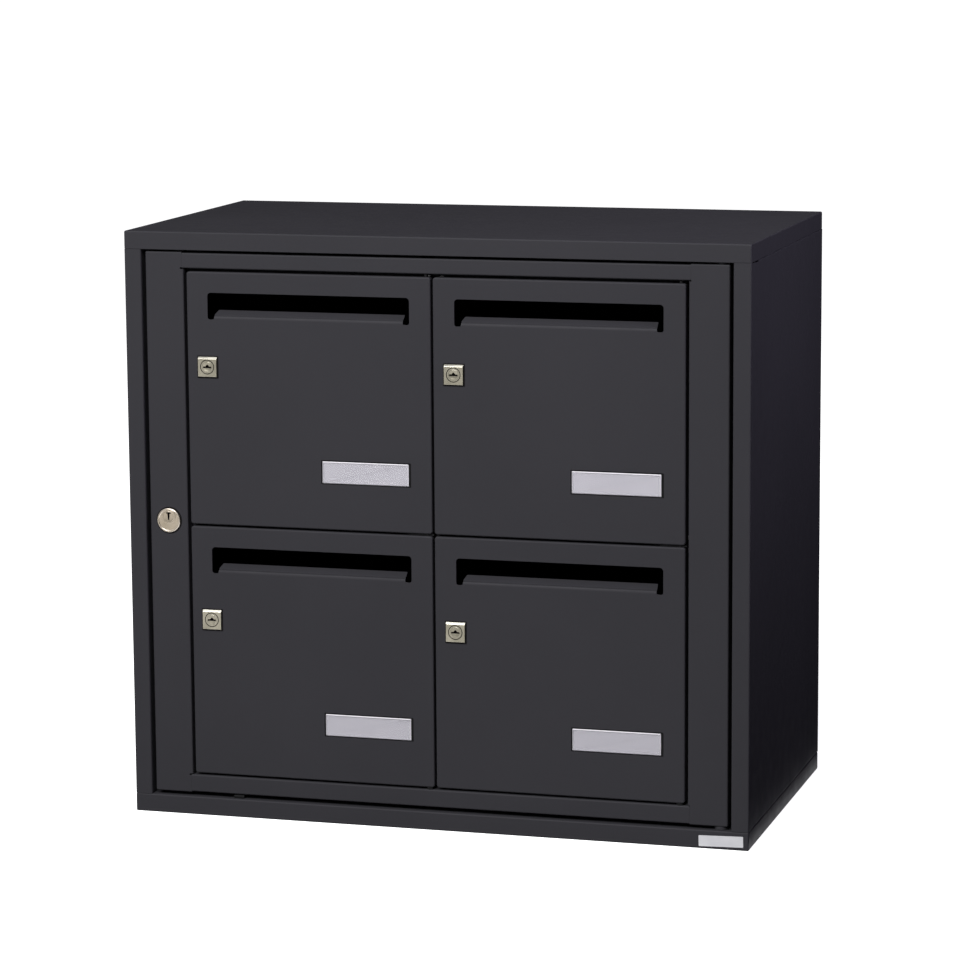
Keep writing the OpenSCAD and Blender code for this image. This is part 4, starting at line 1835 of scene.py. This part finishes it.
@dataclass
class CompartmentDoor:
    """Folded door pan with its letter slot, lip and cut-outs, made once and copied."""

    corner: float = 3 * MM
    slot_width: float = 230 * MM
    slot_height: float = 28.8 * MM
    slot_low: float = 227.6 * MM
    slot_corner: float = 4 * MM
    notch: float = 7.5 * MM
    notch_drop: float = 0.6 * MM
    notch_corner: float = 2.6 * MM
    trim: float = 0.3 * MM
    lip_bend: float = 5 * MM
    lip_turn: float = 68.0
    lip_steps: int = 8
    lip_flat: float = 10.8 * MM
    lip_taper: float = 1.6 * MM
    label_place: tuple[float, float] = (64.4 * MM, 63.3 * MM)
    label_size: tuple[float, float] = (102.3 * MM, 26.7 * MM)
    lock_place: tuple[float, float] = (-115.7 * MM, 175 * MM)
    lock_radius: float = 9 * MM
    pin_inset: tuple[float, float] = (6 * MM, 4.5 * MM)
    pin_radius: float = 2.05 * MM

    def model(self, name: str, low: Vector, high: Vector) -> bpy.types.Object:
        """Models the door.

        Args:
            name: The name of the piece.
            low: The lowest corner of the door.
            high: The highest corner of the door.

        Returns:
            The door.
        """
        middle = (low.x + high.x) / 2
        sill = low.z + self.slot_low
        half = self.slot_width / 2 - MM
        reach = self.slot_width / 2 - self.notch + self.trim
        floor = sill - self.notch_drop + self.trim
        over = sill + 10 * MM
        piece = add_block(name, low, high)
        round_corners(piece, parallel(1), self.corner)
        delete_faces(piece, lambda centre, normal: normal.y > 0.5)
        split_faces(
            piece,
            lambda centre, normal: normal.y < -0.5,
            [
                *((0, middle + place) for place in (-half, -reach, reach, half)),
                *((2, place) for place in (floor, sill, over)),
            ],
        )

        def in_slot(centre: Vector, normal: Vector) -> bool:
            """Says whether a face lies in the slot or in one of its notches."""
            away = abs(centre.x - middle)
            if normal.y > -0.5 or away > half or centre.z > over:
                return False
            return centre.z > sill or (away > reach and centre.z > floor)

        delete_faces(piece, in_slot)
        with editing(piece, "EDGE") as mesh:
            pick_edges(
                mesh,
                lambda start, end: all(
                    abs(point.z - sill) < NEAR and abs(point.x - middle) < reach + NEAR
                    for point in (start, end)
                ),
            )
            for move in self._lip_moves():
                bpy.ops.mesh.extrude_region_move(TRANSFORM_OT_translate={"value": move})
            bpy.ops.transform.resize(
                value=(1.0 - self.lip_taper / reach, 1.0, 1.0), center_override=(middle, 0, 0)
            )
        with editing(piece, "FACE"):
            bpy.ops.mesh.select_all(action="SELECT")
            bpy.ops.mesh.normals_make_consistent(inside=False)
        SHEET.fold(piece)
        SHEET.thicken(piece)
        self._cut(piece, low, high, middle)
        SHEET.finish(piece)
        return piece

    def _lip_moves(self) -> list[tuple[float, float, float]]:
        """Gives the steps along the lip, up its bend and along its flat part.

        Returns:
            The steps.
        """
        turn = math.radians(self.lip_turn)
        angles = [turn * step / self.lip_steps for step in range(self.lip_steps + 1)]
        moves = [
            (
                0.0,
                self.lip_bend * (math.cos(start) - math.cos(end)),
                self.lip_bend * (math.sin(end) - math.sin(start)),
            )
            for start, end in zip(angles, angles[1:])
        ]
        moves.append((0.0, self.lip_flat * math.sin(turn), self.lip_flat * math.cos(turn)))
        return moves

    def _cut(self, piece: bpy.types.Object, low: Vector, high: Vector, middle: float) -> None:
        """Cuts the slot, its notches and the holes.

        Args:
            piece: The door.
            low: The lowest corner of the door.
            high: The highest corner of the door.
            middle: The middle of the door's width.
        """
        front, behind = low.y - 2 * MM, low.y + 2.5 * MM
        sill = low.z + self.slot_low
        half = self.slot_width / 2
        opening = add_block(
            "opening",
            (middle - half, front, sill + 3 * MM),
            (middle + half, behind, sill + self.slot_height),
        )
        round_corners(
            opening,
            lambda start, end: parallel(1)(start, end) and start.z > sill + 10 * MM,
            self.slot_corner,
        )
        label_x, label_z = middle + self.label_place[0], low.z + self.label_place[1]
        width, height = self.label_size
        label = rounded_block(
            "label",
            (label_x - width / 2, front, label_z - height / 2),
            (label_x + width / 2, behind, label_z + height / 2),
            1,
            MM,
        )
        lock_x, lock_z = middle + self.lock_place[0], low.z + self.lock_place[1]
        tools = [
            opening,
            label,
            add_rod("hole", self.lock_radius, (lock_x, front, lock_z), (lock_x, behind, lock_z)),
        ]
        pin_x, pin_y = high.x - self.pin_inset[0], low.y + self.pin_inset[1]
        for start, end in ((low.z - MM, low.z + 3 * MM), (high.z - 3 * MM, high.z + MM)):
            tools.append(
                add_rod("hole", self.pin_radius, (pin_x, pin_y, start), (pin_x, pin_y, end), 24)
            )
        combine(piece, tools)
        for sign in (-1, 1):
            sides = sorted((middle + sign * half, middle + sign * (half - self.notch)))
            notch = add_block(
                "notch",
                (sides[0], front, sill - self.notch_drop),
                (sides[1], low.y + 16 * MM, sill + 9 * MM),
            )
            round_corners(
                notch,
                lambda start, end: parallel(1)(start, end) and start.z < sill,
                self.notch_corner,
            )
            combine(piece, [notch])


@dataclass
class DoorLock:
    """Square-faced cam lock, made once and copied."""

    face: float = 22.4 * MM
    bevel: float = 1.9 * MM
    draft: float = 0.55 * MM
    # Dark rim round the plate that stands in for the shade around it.
    seal: float = 0.9 * MM
    seal_thickness: float = 0.6 * MM
    proud: float = 2.5 * MM
    groove_outer: float = 8.1 * MM
    groove_inner: float = 7.2 * MM
    groove_depth: float = 0.7 * MM
    body_radius: float = 9 * MM
    plug_radius: float = 5.75 * MM
    play: float = 0.05 * MM
    length: float = 18 * MM
    plug_end: float = 20.1 * MM
    cam_thickness: float = 2 * MM
    key_depth: float = 4 * MM

    def model_body(self, name: str, at: Vector) -> bpy.types.Object:
        """Models the lock's body.

        Args:
            name: The name of the piece.
            at: The point on its axis in the plane of the door's face.

        Returns:
            The body.
        """
        half = self.face / 2
        top = at.y - self.proud
        body = add_block(name, (at.x - half, top, at.z - half), (at.x + half, at.y, at.z + half))
        with editing(body, "FACE") as mesh:
            pick_faces(mesh, lambda centre, normal: normal.y < -0.9)
            narrow = 1.0 - self.draft / half
            bpy.ops.transform.resize(value=(narrow, 1.0, narrow), center_override=at)
        round_corners(
            body,
            lambda start, end: start.y < top + NEAR
            and end.y < top + NEAR
            and min(start.z, end.z) > at.z + 0.5 * half,
            self.bevel,
            1,
        )
        run_modifier(
            body,
            "BEVEL",
            width=0.3 * MM,
            segments=3,
            limit_method="ANGLE",
            angle_limit=math.radians(28),
        )
        deep = -self.proud + self.groove_depth
        groove = lathe(
            "groove",
            [
                (self.groove_inner + 0.12 * MM, deep),
                (self.groove_outer - 0.12 * MM, deep),
                (self.groove_outer, deep - 0.15 * MM),
                (self.groove_outer, -self.proud - MM),
                (self.groove_inner, -self.proud - MM),
                (self.groove_inner, deep - 0.15 * MM),
                (self.groove_inner + 0.12 * MM, deep),
            ],
            at,
            Y_AXIS,
            72,
        )
        combine(body, [groove])
        root = self.body_radius - 0.45 * MM
        thread = threaded_tube("thread", self.body_radius, root, 0.0, self.length, at)
        combine(body, [thread], "UNION")
        # A dark rim round the plate, standing in for the shade that falls round it.
        wide = half + self.seal
        seal = rounded_block(
            "seal",
            (at.x - wide, at.y - self.seal_thickness, at.z - wide - 0.3 * self.seal),
            (at.x + wide, at.y, at.z + wide),
            1,
            0.8 * MM,
        )
        combine(body, [seal], "UNION")
        bore = add_rod(
            "bore",
            self.plug_radius + self.play,
            at - Y_AXIS * 4 * MM,
            at + Y_AXIS * (self.length + 2 * MM),
            64,
        )
        combine(body, [bore])
        shade(body, 30)
        return body

    def dress(self, body: bpy.types.Object, front: float, cabinet: Cabinet) -> None:
        """Paints shade onto the dark rim round the plate and onto the floor of the groove, with the near-black
        material.

        Args:
            body: The dressed body.
            front: The plane of the plate's front.
            cabinet: The frame, with the finishes.
        """
        body.data.materials.append(cabinet.materials[PAINTED_SHADE.name])
        left = min(vertex.co.x for vertex in body.data.vertices)
        right = max(vertex.co.x for vertex in body.data.vertices)
        top = max(vertex.co.z for vertex in body.data.vertices)
        x, half = (left + right) / 2, self.face / 2
        z = top - half - self.seal
        shade_rim_front = front + self.proud - self.seal_thickness
        # Painted shade on the rim's faces and on the floor of the groove.
        for face in body.data.polygons:
            away_x, away_z = abs(face.center.x - x), abs(face.center.z - z)
            flat = face.normal.y < -0.9 and abs(face.center.y - shade_rim_front) < 0.02 * MM
            edge = face.center.y > shade_rim_front and max(away_x, away_z) > half
            sunk = abs(face.center.y - front - self.groove_depth) < 0.2 * MM
            grooved = sunk and self.groove_inner < math.hypot(away_x, away_z) < self.groove_outer
            if flat or edge or grooved:
                face.material_index = 1

    def model_plug(self, name: str, at: Vector) -> bpy.types.Object:
        """Models the lock's plug with its flat keyhole.

        Args:
            name: The name of the piece.
            at: The point on its axis in the plane of the door's face.

        Returns:
            The plug.
        """
        plug = plug_blank(name, self.plug_radius, self.proud, self.plug_end, 0.5 * MM, at)
        front = at.y - self.proud
        flat = rounded_block(
            "flat",
            (at.x - 4.8 * MM, front - MM, at.z - 1.3 * MM),
            (at.x + 4.8 * MM, front + self.key_depth, at.z + 0.5 * MM),
            1,
            0.35 * MM,
        )
        peak = add_block(
            "peak",
            (at.x - 3.7 * MM, front - 1.3 * MM, at.z - 1.0 * MM),
            (at.x + 3.7 * MM, front + self.key_depth - 0.4 * MM, at.z + 2.5 * MM),
        )
        with editing(peak, "FACE") as mesh:
            pick_faces(mesh, lambda centre, normal: normal.z > 0.9)
            bpy.ops.transform.resize(value=(0.14, 1.0, 1.0), center_override=at)
        combine(plug, [flat])
        combine(plug, [peak])
        add_shank(plug, self.plug_radius, at, self.plug_end, self.cam_thickness)
        shade(plug, 30)
        return plug


@dataclass
class NameLabel:
    """Clear bevelled window over a card, in a holder behind the door."""

    bevel: float = 0.8 * MM
    air: float = 0.08 * MM

    def model(self, name: str, low: Vector, high: Vector) -> bpy.types.Object:
        """Models the window.

        Args:
            name: The name of the piece.
            low: The lowest corner of the window.
            high: The highest corner of the window.

        Returns:
            The window.
        """
        back = (high.x, high.y - self.air, high.z)
        window = add_block(name, (low.x, low.y + self.bevel, low.z), back)
        round_corners(window, parallel(1), 0.5 * MM, 3)
        with editing(window, "FACE") as mesh:
            pick_faces(mesh, lambda centre, normal: normal.y < -0.9)
            bpy.ops.mesh.inset(thickness=self.bevel, depth=self.bevel)
        soften(window, 0.1 * MM, 2, 25.0)
        return window

    def dress(self, window: bpy.types.Object, cabinet: Cabinet) -> None:
        """Gives the window its clear face and a painted highlight on its bevelled edges.

        Args:
            window: The window.
            cabinet: The frame, with the finishes.
        """
        window.data.materials.clear()
        for finish in (CLEAR_ACRYLIC, ACRYLIC_EDGE_HIGHLIGHT):
            window.data.materials.append(cabinet.materials[finish.name])
        # Painted highlight on the bevelled edges.
        for face in window.data.polygons:
            face.material_index = 0 if abs(face.normal.y) > 0.97 else 1


@dataclass
class Compartments:
    """The four doors with their locks and labels."""

    names: tuple[str, ...] = ("upper_left", "upper_right", "lower_left", "lower_right")
    door: CompartmentDoor = field(default_factory=CompartmentDoor)
    lock: DoorLock = field(default_factory=DoorLock)
    label: NameLabel = field(default_factory=NameLabel)

    def build(self, cabinet: Cabinet) -> None:
        """Builds the doors and what they carry.

        Args:
            cabinet: The frame to join.
        """
        first = self.names[0]
        low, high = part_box(f"{first}_door_panel")
        middle = (low.x + high.x) / 2
        lock_at = Vector(
            (middle + self.door.lock_place[0], low.y, low.z + self.door.lock_place[1])
        )
        window_low, window_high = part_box(f"{first}_label_window")
        models = {
            "door_panel": (self.door.model("model_door", low, high), "door", POWDER_COAT),
            "lock_body": (self.lock.model_body("model_lock", lock_at), "cam_lock", SATIN_NICKEL),
            "lock_plug": (self.lock.model_plug("model_plug", lock_at), "cam_lock_plug", SATIN_NICKEL),
            "label_window": (
                self.label.model("model_window", window_low, window_high),
                "label_cover",
                CLEAR_ACRYLIC,
            ),
        }
        for name in self.names:
            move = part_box(f"{name}_door_panel")[0] - low
            for part, (model, word, finish) in models.items():
                piece = copy_piece(model, f"{name}_{word}", move)
                if part == "label_window":
                    self.label.dress(piece, cabinet)
                    cabinet.hand_over(piece, f"{name}_{part}")
                else:
                    cabinet.install(piece, f"{name}_{part}", finish)
                if part == "lock_body":
                    self.lock.dress(piece, lock_at.y - self.lock.proud, cabinet)
                if part == "lock_plug":
                    front = lock_at.y - self.lock.proud
                    cabinet.darken_keyway(piece, front, self.lock.key_depth)
            cabinet.refine(f"{name}_lock_nut", ZINC_PLATE, 0.35 * MM)
            cabinet.refine(f"{name}_lock_cam", ZINC_PLATE, 0.3 * MM)
            cabinet.refine(f"{name}_label_holder", MOULDED_BLACK, 0.25 * MM)
            cabinet.refine(f"{name}_label_card", NAME_CARD, 0.05 * MM)
        for model, _, _ in models.values():
            bpy.data.objects.remove(model)


@dataclass
class BlankPlate:
    """Bare foil plate on the base tray, with a raised border."""

    border: float = 0.9 * MM
    step: float = 0.07 * MM

    def build(self, cabinet: Cabinet) -> None:
        """Builds the plate.

        Args:
            cabinet: The frame to join.
        """
        source = cabinet.nodes["blank_plate"]
        piece = bpy.data.objects.new("blank_foil_plate", source.data.copy())
        bpy.context.scene.collection.objects.link(piece)
        with editing(piece, "FACE") as mesh:
            bpy.ops.mesh.select_all(action="SELECT")
            bpy.ops.mesh.remove_doubles(threshold=0.002 * MM)
            bpy.ops.mesh.dissolve_limited(angle_limit=math.radians(0.5))
            mesh = bmesh.from_edit_mesh(piece.data)
            pick_faces(mesh, lambda centre, normal: normal.y < -0.9)
            bpy.ops.mesh.inset(thickness=self.border, depth=-self.step)
        soften(piece, 0.03 * MM, 2, 30.0)
        cabinet.install(piece, "blank_plate", SILVER_FOIL)


# ---- Studio ----


@dataclass(frozen=True)
class SoftLamp:
    """A large rectangular lamp that looks at a point."""

    name: str
    place: tuple[float, float, float]
    aim: tuple[float, float, float]
    size: tuple[float, float]
    power: float
    mirrored: bool = True
    tint: Colour = (1.0, 1.0, 1.0)
    spread: float = 180.0

    def build(self) -> None:
        """Adds the lamp."""
        bpy.ops.object.light_add(type="AREA", location=self.place)
        lamp = bpy.context.object
        lamp.name = self.name
        lamp.rotation_euler = (
            (Vector(self.aim) - Vector(self.place)).to_track_quat("-Z", "Y").to_euler()
        )
        lamp.data.shape = "RECTANGLE"
        lamp.data.size, lamp.data.size_y = self.size
        lamp.data.energy = self.power
        lamp.data.color = self.tint
        lamp.data.spread = math.radians(self.spread)
        lamp.visible_glossy = self.mirrored
        lamp.visible_camera = False


@dataclass(frozen=True)
class BlackFlag:
    """A black card that only keeps stray reflections off the paint."""

    name: str
    place: tuple[float, float, float]
    turn: tuple[float, float, float]
    size: tuple[float, float]

    def build(self, material: bpy.types.Material) -> None:
        """Adds the card.

        Args:
            material: The card's black cloth.
        """
        clear_selection()
        bpy.ops.mesh.primitive_plane_add(
            size=1, location=self.place, rotation=[math.radians(angle) for angle in self.turn]
        )
        card = bpy.context.object
        card.name = self.name
        card.scale = (*self.size, 1.0)
        card.data.materials.append(material)
        card.visible_camera = False
        card.visible_diffuse = False
        card.visible_transmission = False
        card.visible_shadow = False


@dataclass
class Studio:
    """Pale floor, soft lamps, flags and camera."""

    camera_place: tuple[float, float, float] = (1.1546, -3.9828, 1.0393)
    azimuth: float = 16.12
    elevation: float = 9.41
    roll: float = -0.37
    lens: float = 138.2
    sensor: float = 36.0
    ambient: Colour = (0.05, 0.05, 0.058)
    floor_bounce: Colour = (0.05, 0.05, 0.056)
    floor_glow_near: float = 0.86
    lamps: tuple[SoftLamp, ...] = (
        SoftLamp("key_lamp", (-0.5, -2.9, 2.7), (0.0, -0.1, 0.45), (2.4, 1.6), 238.0),
        SoftLamp(
            "right_lamp",
            (1.3, -0.2, 1.15),
            (0.35, 0.0, 0.75),
            (0.8, 0.6),
            3.4,
            False,
            (1.0, 0.94, 1.16),
            80.0,
        ),
        SoftLamp("back_lamp", (-0.6, 3.4, 2.2), (0.0, 0.1, 0.4), (2.0, 1.6), 16.0, False),
    )
    flags: tuple[BlackFlag, ...] = (
        BlackFlag("back_flag", (0.0, 3.0, 2.5), (90.0, 0.0, 0.0), (9.0, 5.0)),
        BlackFlag("right_flag", (3.2, -0.3, 2.5), (90.0, 0.0, 90.0), (8.6, 5.0)),
        BlackFlag("top_flag", (0.0, 0.9, 4.2), (0.0, 0.0, 0.0), (9.0, 4.6)),
        BlackFlag("floor_flag", (2.36, 0.4, 0.004), (0.0, 0.0, 0.0), (4.0, 6.2)),
    )

    def build(self) -> None:
        """Builds the studio."""
        self._camera()
        self._world()
        self._floor()
        for lamp in self.lamps:
            lamp.build()
        cloth = bpy.data.materials.new("black_cloth")
        cloth.use_nodes = True
        shader = cloth.node_tree.nodes["Principled BSDF"]
        shader.inputs["Base Color"].default_value = (0.004, 0.004, 0.004, 1.0)
        shader.inputs["Specular IOR Level"].default_value = 0.0
        shader.inputs["Roughness"].default_value = 1.0
        for flag in self.flags:
            flag.build(cloth)
        bpy.context.scene.view_settings.view_transform = "Standard"

    def _camera(self) -> None:
        """Adds the camera at its angles and makes it the scene's."""
        azimuth, elevation = math.radians(self.azimuth), math.radians(self.elevation)
        roll = math.radians(self.roll)
        back = Vector(
            (
                math.sin(azimuth) * math.cos(elevation),
                -math.cos(azimuth) * math.cos(elevation),
                math.sin(elevation),
            )
        )
        right = Vector((math.cos(azimuth), math.sin(azimuth), 0.0))
        up = back.cross(right)
        turned_right = right * math.cos(roll) + up * math.sin(roll)
        turned_up = up * math.cos(roll) - right * math.sin(roll)
        bpy.ops.object.camera_add(location=self.camera_place)
        camera = bpy.context.object
        camera.matrix_world = Matrix.Translation(self.camera_place) @ Matrix(
            (turned_right, turned_up, back)
        ).transposed().to_4x4()
        camera.data.lens = self.lens
        camera.data.sensor_width = self.sensor
        camera.data.sensor_fit = "HORIZONTAL"
        camera.data.clip_end = 100.0
        bpy.context.scene.camera = camera

    @staticmethod
    def _seen_directly(desk: NodeDesk) -> bpy.types.NodeSocket:
        """Tells camera, glossy and transmission rays from the rays that light the object.

        Args:
            desk: The tree to build in.

        Returns:
            The output that is 1 for those rays.
        """
        path = desk.add("ShaderNodeLightPath")
        either = desk.math("MAXIMUM", path.outputs["Is Camera Ray"], path.outputs["Is Glossy Ray"])
        return desk.math("MAXIMUM", either, path.outputs["Is Transmission Ray"])

    def _world(self) -> None:
        """Gives the world a white backdrop and a low ambient light."""
        world = bpy.data.worlds.new("studio_world")
        world.use_nodes = True
        bpy.context.scene.world = world
        desk = NodeDesk(world.node_tree)
        world.node_tree.nodes.clear()
        white = desk.add("ShaderNodeBackground")
        white.inputs["Color"].default_value = (1.0, 1.0, 1.0, 1.0)
        white.inputs["Strength"].default_value = 1.0
        ambient = desk.add("ShaderNodeBackground")
        ambient.inputs["Color"].default_value = (*self.ambient, 1.0)
        ambient.inputs["Strength"].default_value = 1.0
        mix = desk.add("ShaderNodeMixShader")
        desk.join(self._seen_directly(desk), mix.inputs[0])
        desk.join(ambient.outputs[0], mix.inputs[1])
        desk.join(white.outputs[0], mix.inputs[2])
        desk.join(mix.outputs[0], desk.add("ShaderNodeOutputWorld").inputs["Surface"])

    def _floor(self) -> None:
        """Adds the pale floor, white to the eye except in the object's shadow."""
        clear_selection()
        bpy.ops.mesh.primitive_plane_add(size=120, location=(0.0, 0.0, 0.0))
        floor = bpy.context.object
        floor.name = "studio_floor"
        material = bpy.data.materials.new("pale_floor")
        material.use_nodes = True
        desk = NodeDesk(material.node_tree)
        material.node_tree.nodes.clear()
        paper = desk.add("ShaderNodeBsdfDiffuse")
        paper.inputs["Color"].default_value = (0.8, 0.8, 0.8, 1.0)
        glow = desk.add("ShaderNodeEmission")
        place = desk.add("ShaderNodeTexCoord").outputs["Object"]
        distance = desk.add("ShaderNodeVectorMath", operation="LENGTH")
        desk.join(place, distance.inputs[0])
        desk.join(
            desk.spread(distance.outputs["Value"], 0.8, 2.6, self.floor_glow_near, 1.0),
            glow.inputs["Strength"],
        )
        seen = desk.add("ShaderNodeAddShader")
        desk.join(paper.outputs[0], seen.inputs[0])
        desk.join(glow.outputs[0], seen.inputs[1])
        bounce = desk.add("ShaderNodeBsdfDiffuse")
        bounce.inputs["Color"].default_value = (*self.floor_bounce, 1.0)
        mix = desk.add("ShaderNodeMixShader")
        desk.join(self._seen_directly(desk), mix.inputs[0])
        desk.join(bounce.outputs[0], mix.inputs[1])
        desk.join(seen.outputs[0], mix.inputs[2])
        desk.join(mix.outputs[0], desk.add("ShaderNodeOutputMaterial").inputs["Surface"])
        floor.data.materials.append(material)


# ---- The whole scene ----


def main() -> None:
    """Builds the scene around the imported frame."""
    logging.basicConfig(level=logging.INFO, format="%(message)s")
    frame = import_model()
    Studio().build()
    cabinet = Cabinet(frame)
    CabinetShell().build(cabinet)
    BlankPlate().build(cabinet)
    CollectiveFront().build(cabinet)
    Compartments().build(cabinet)


if __name__ == "__main__":
    main()
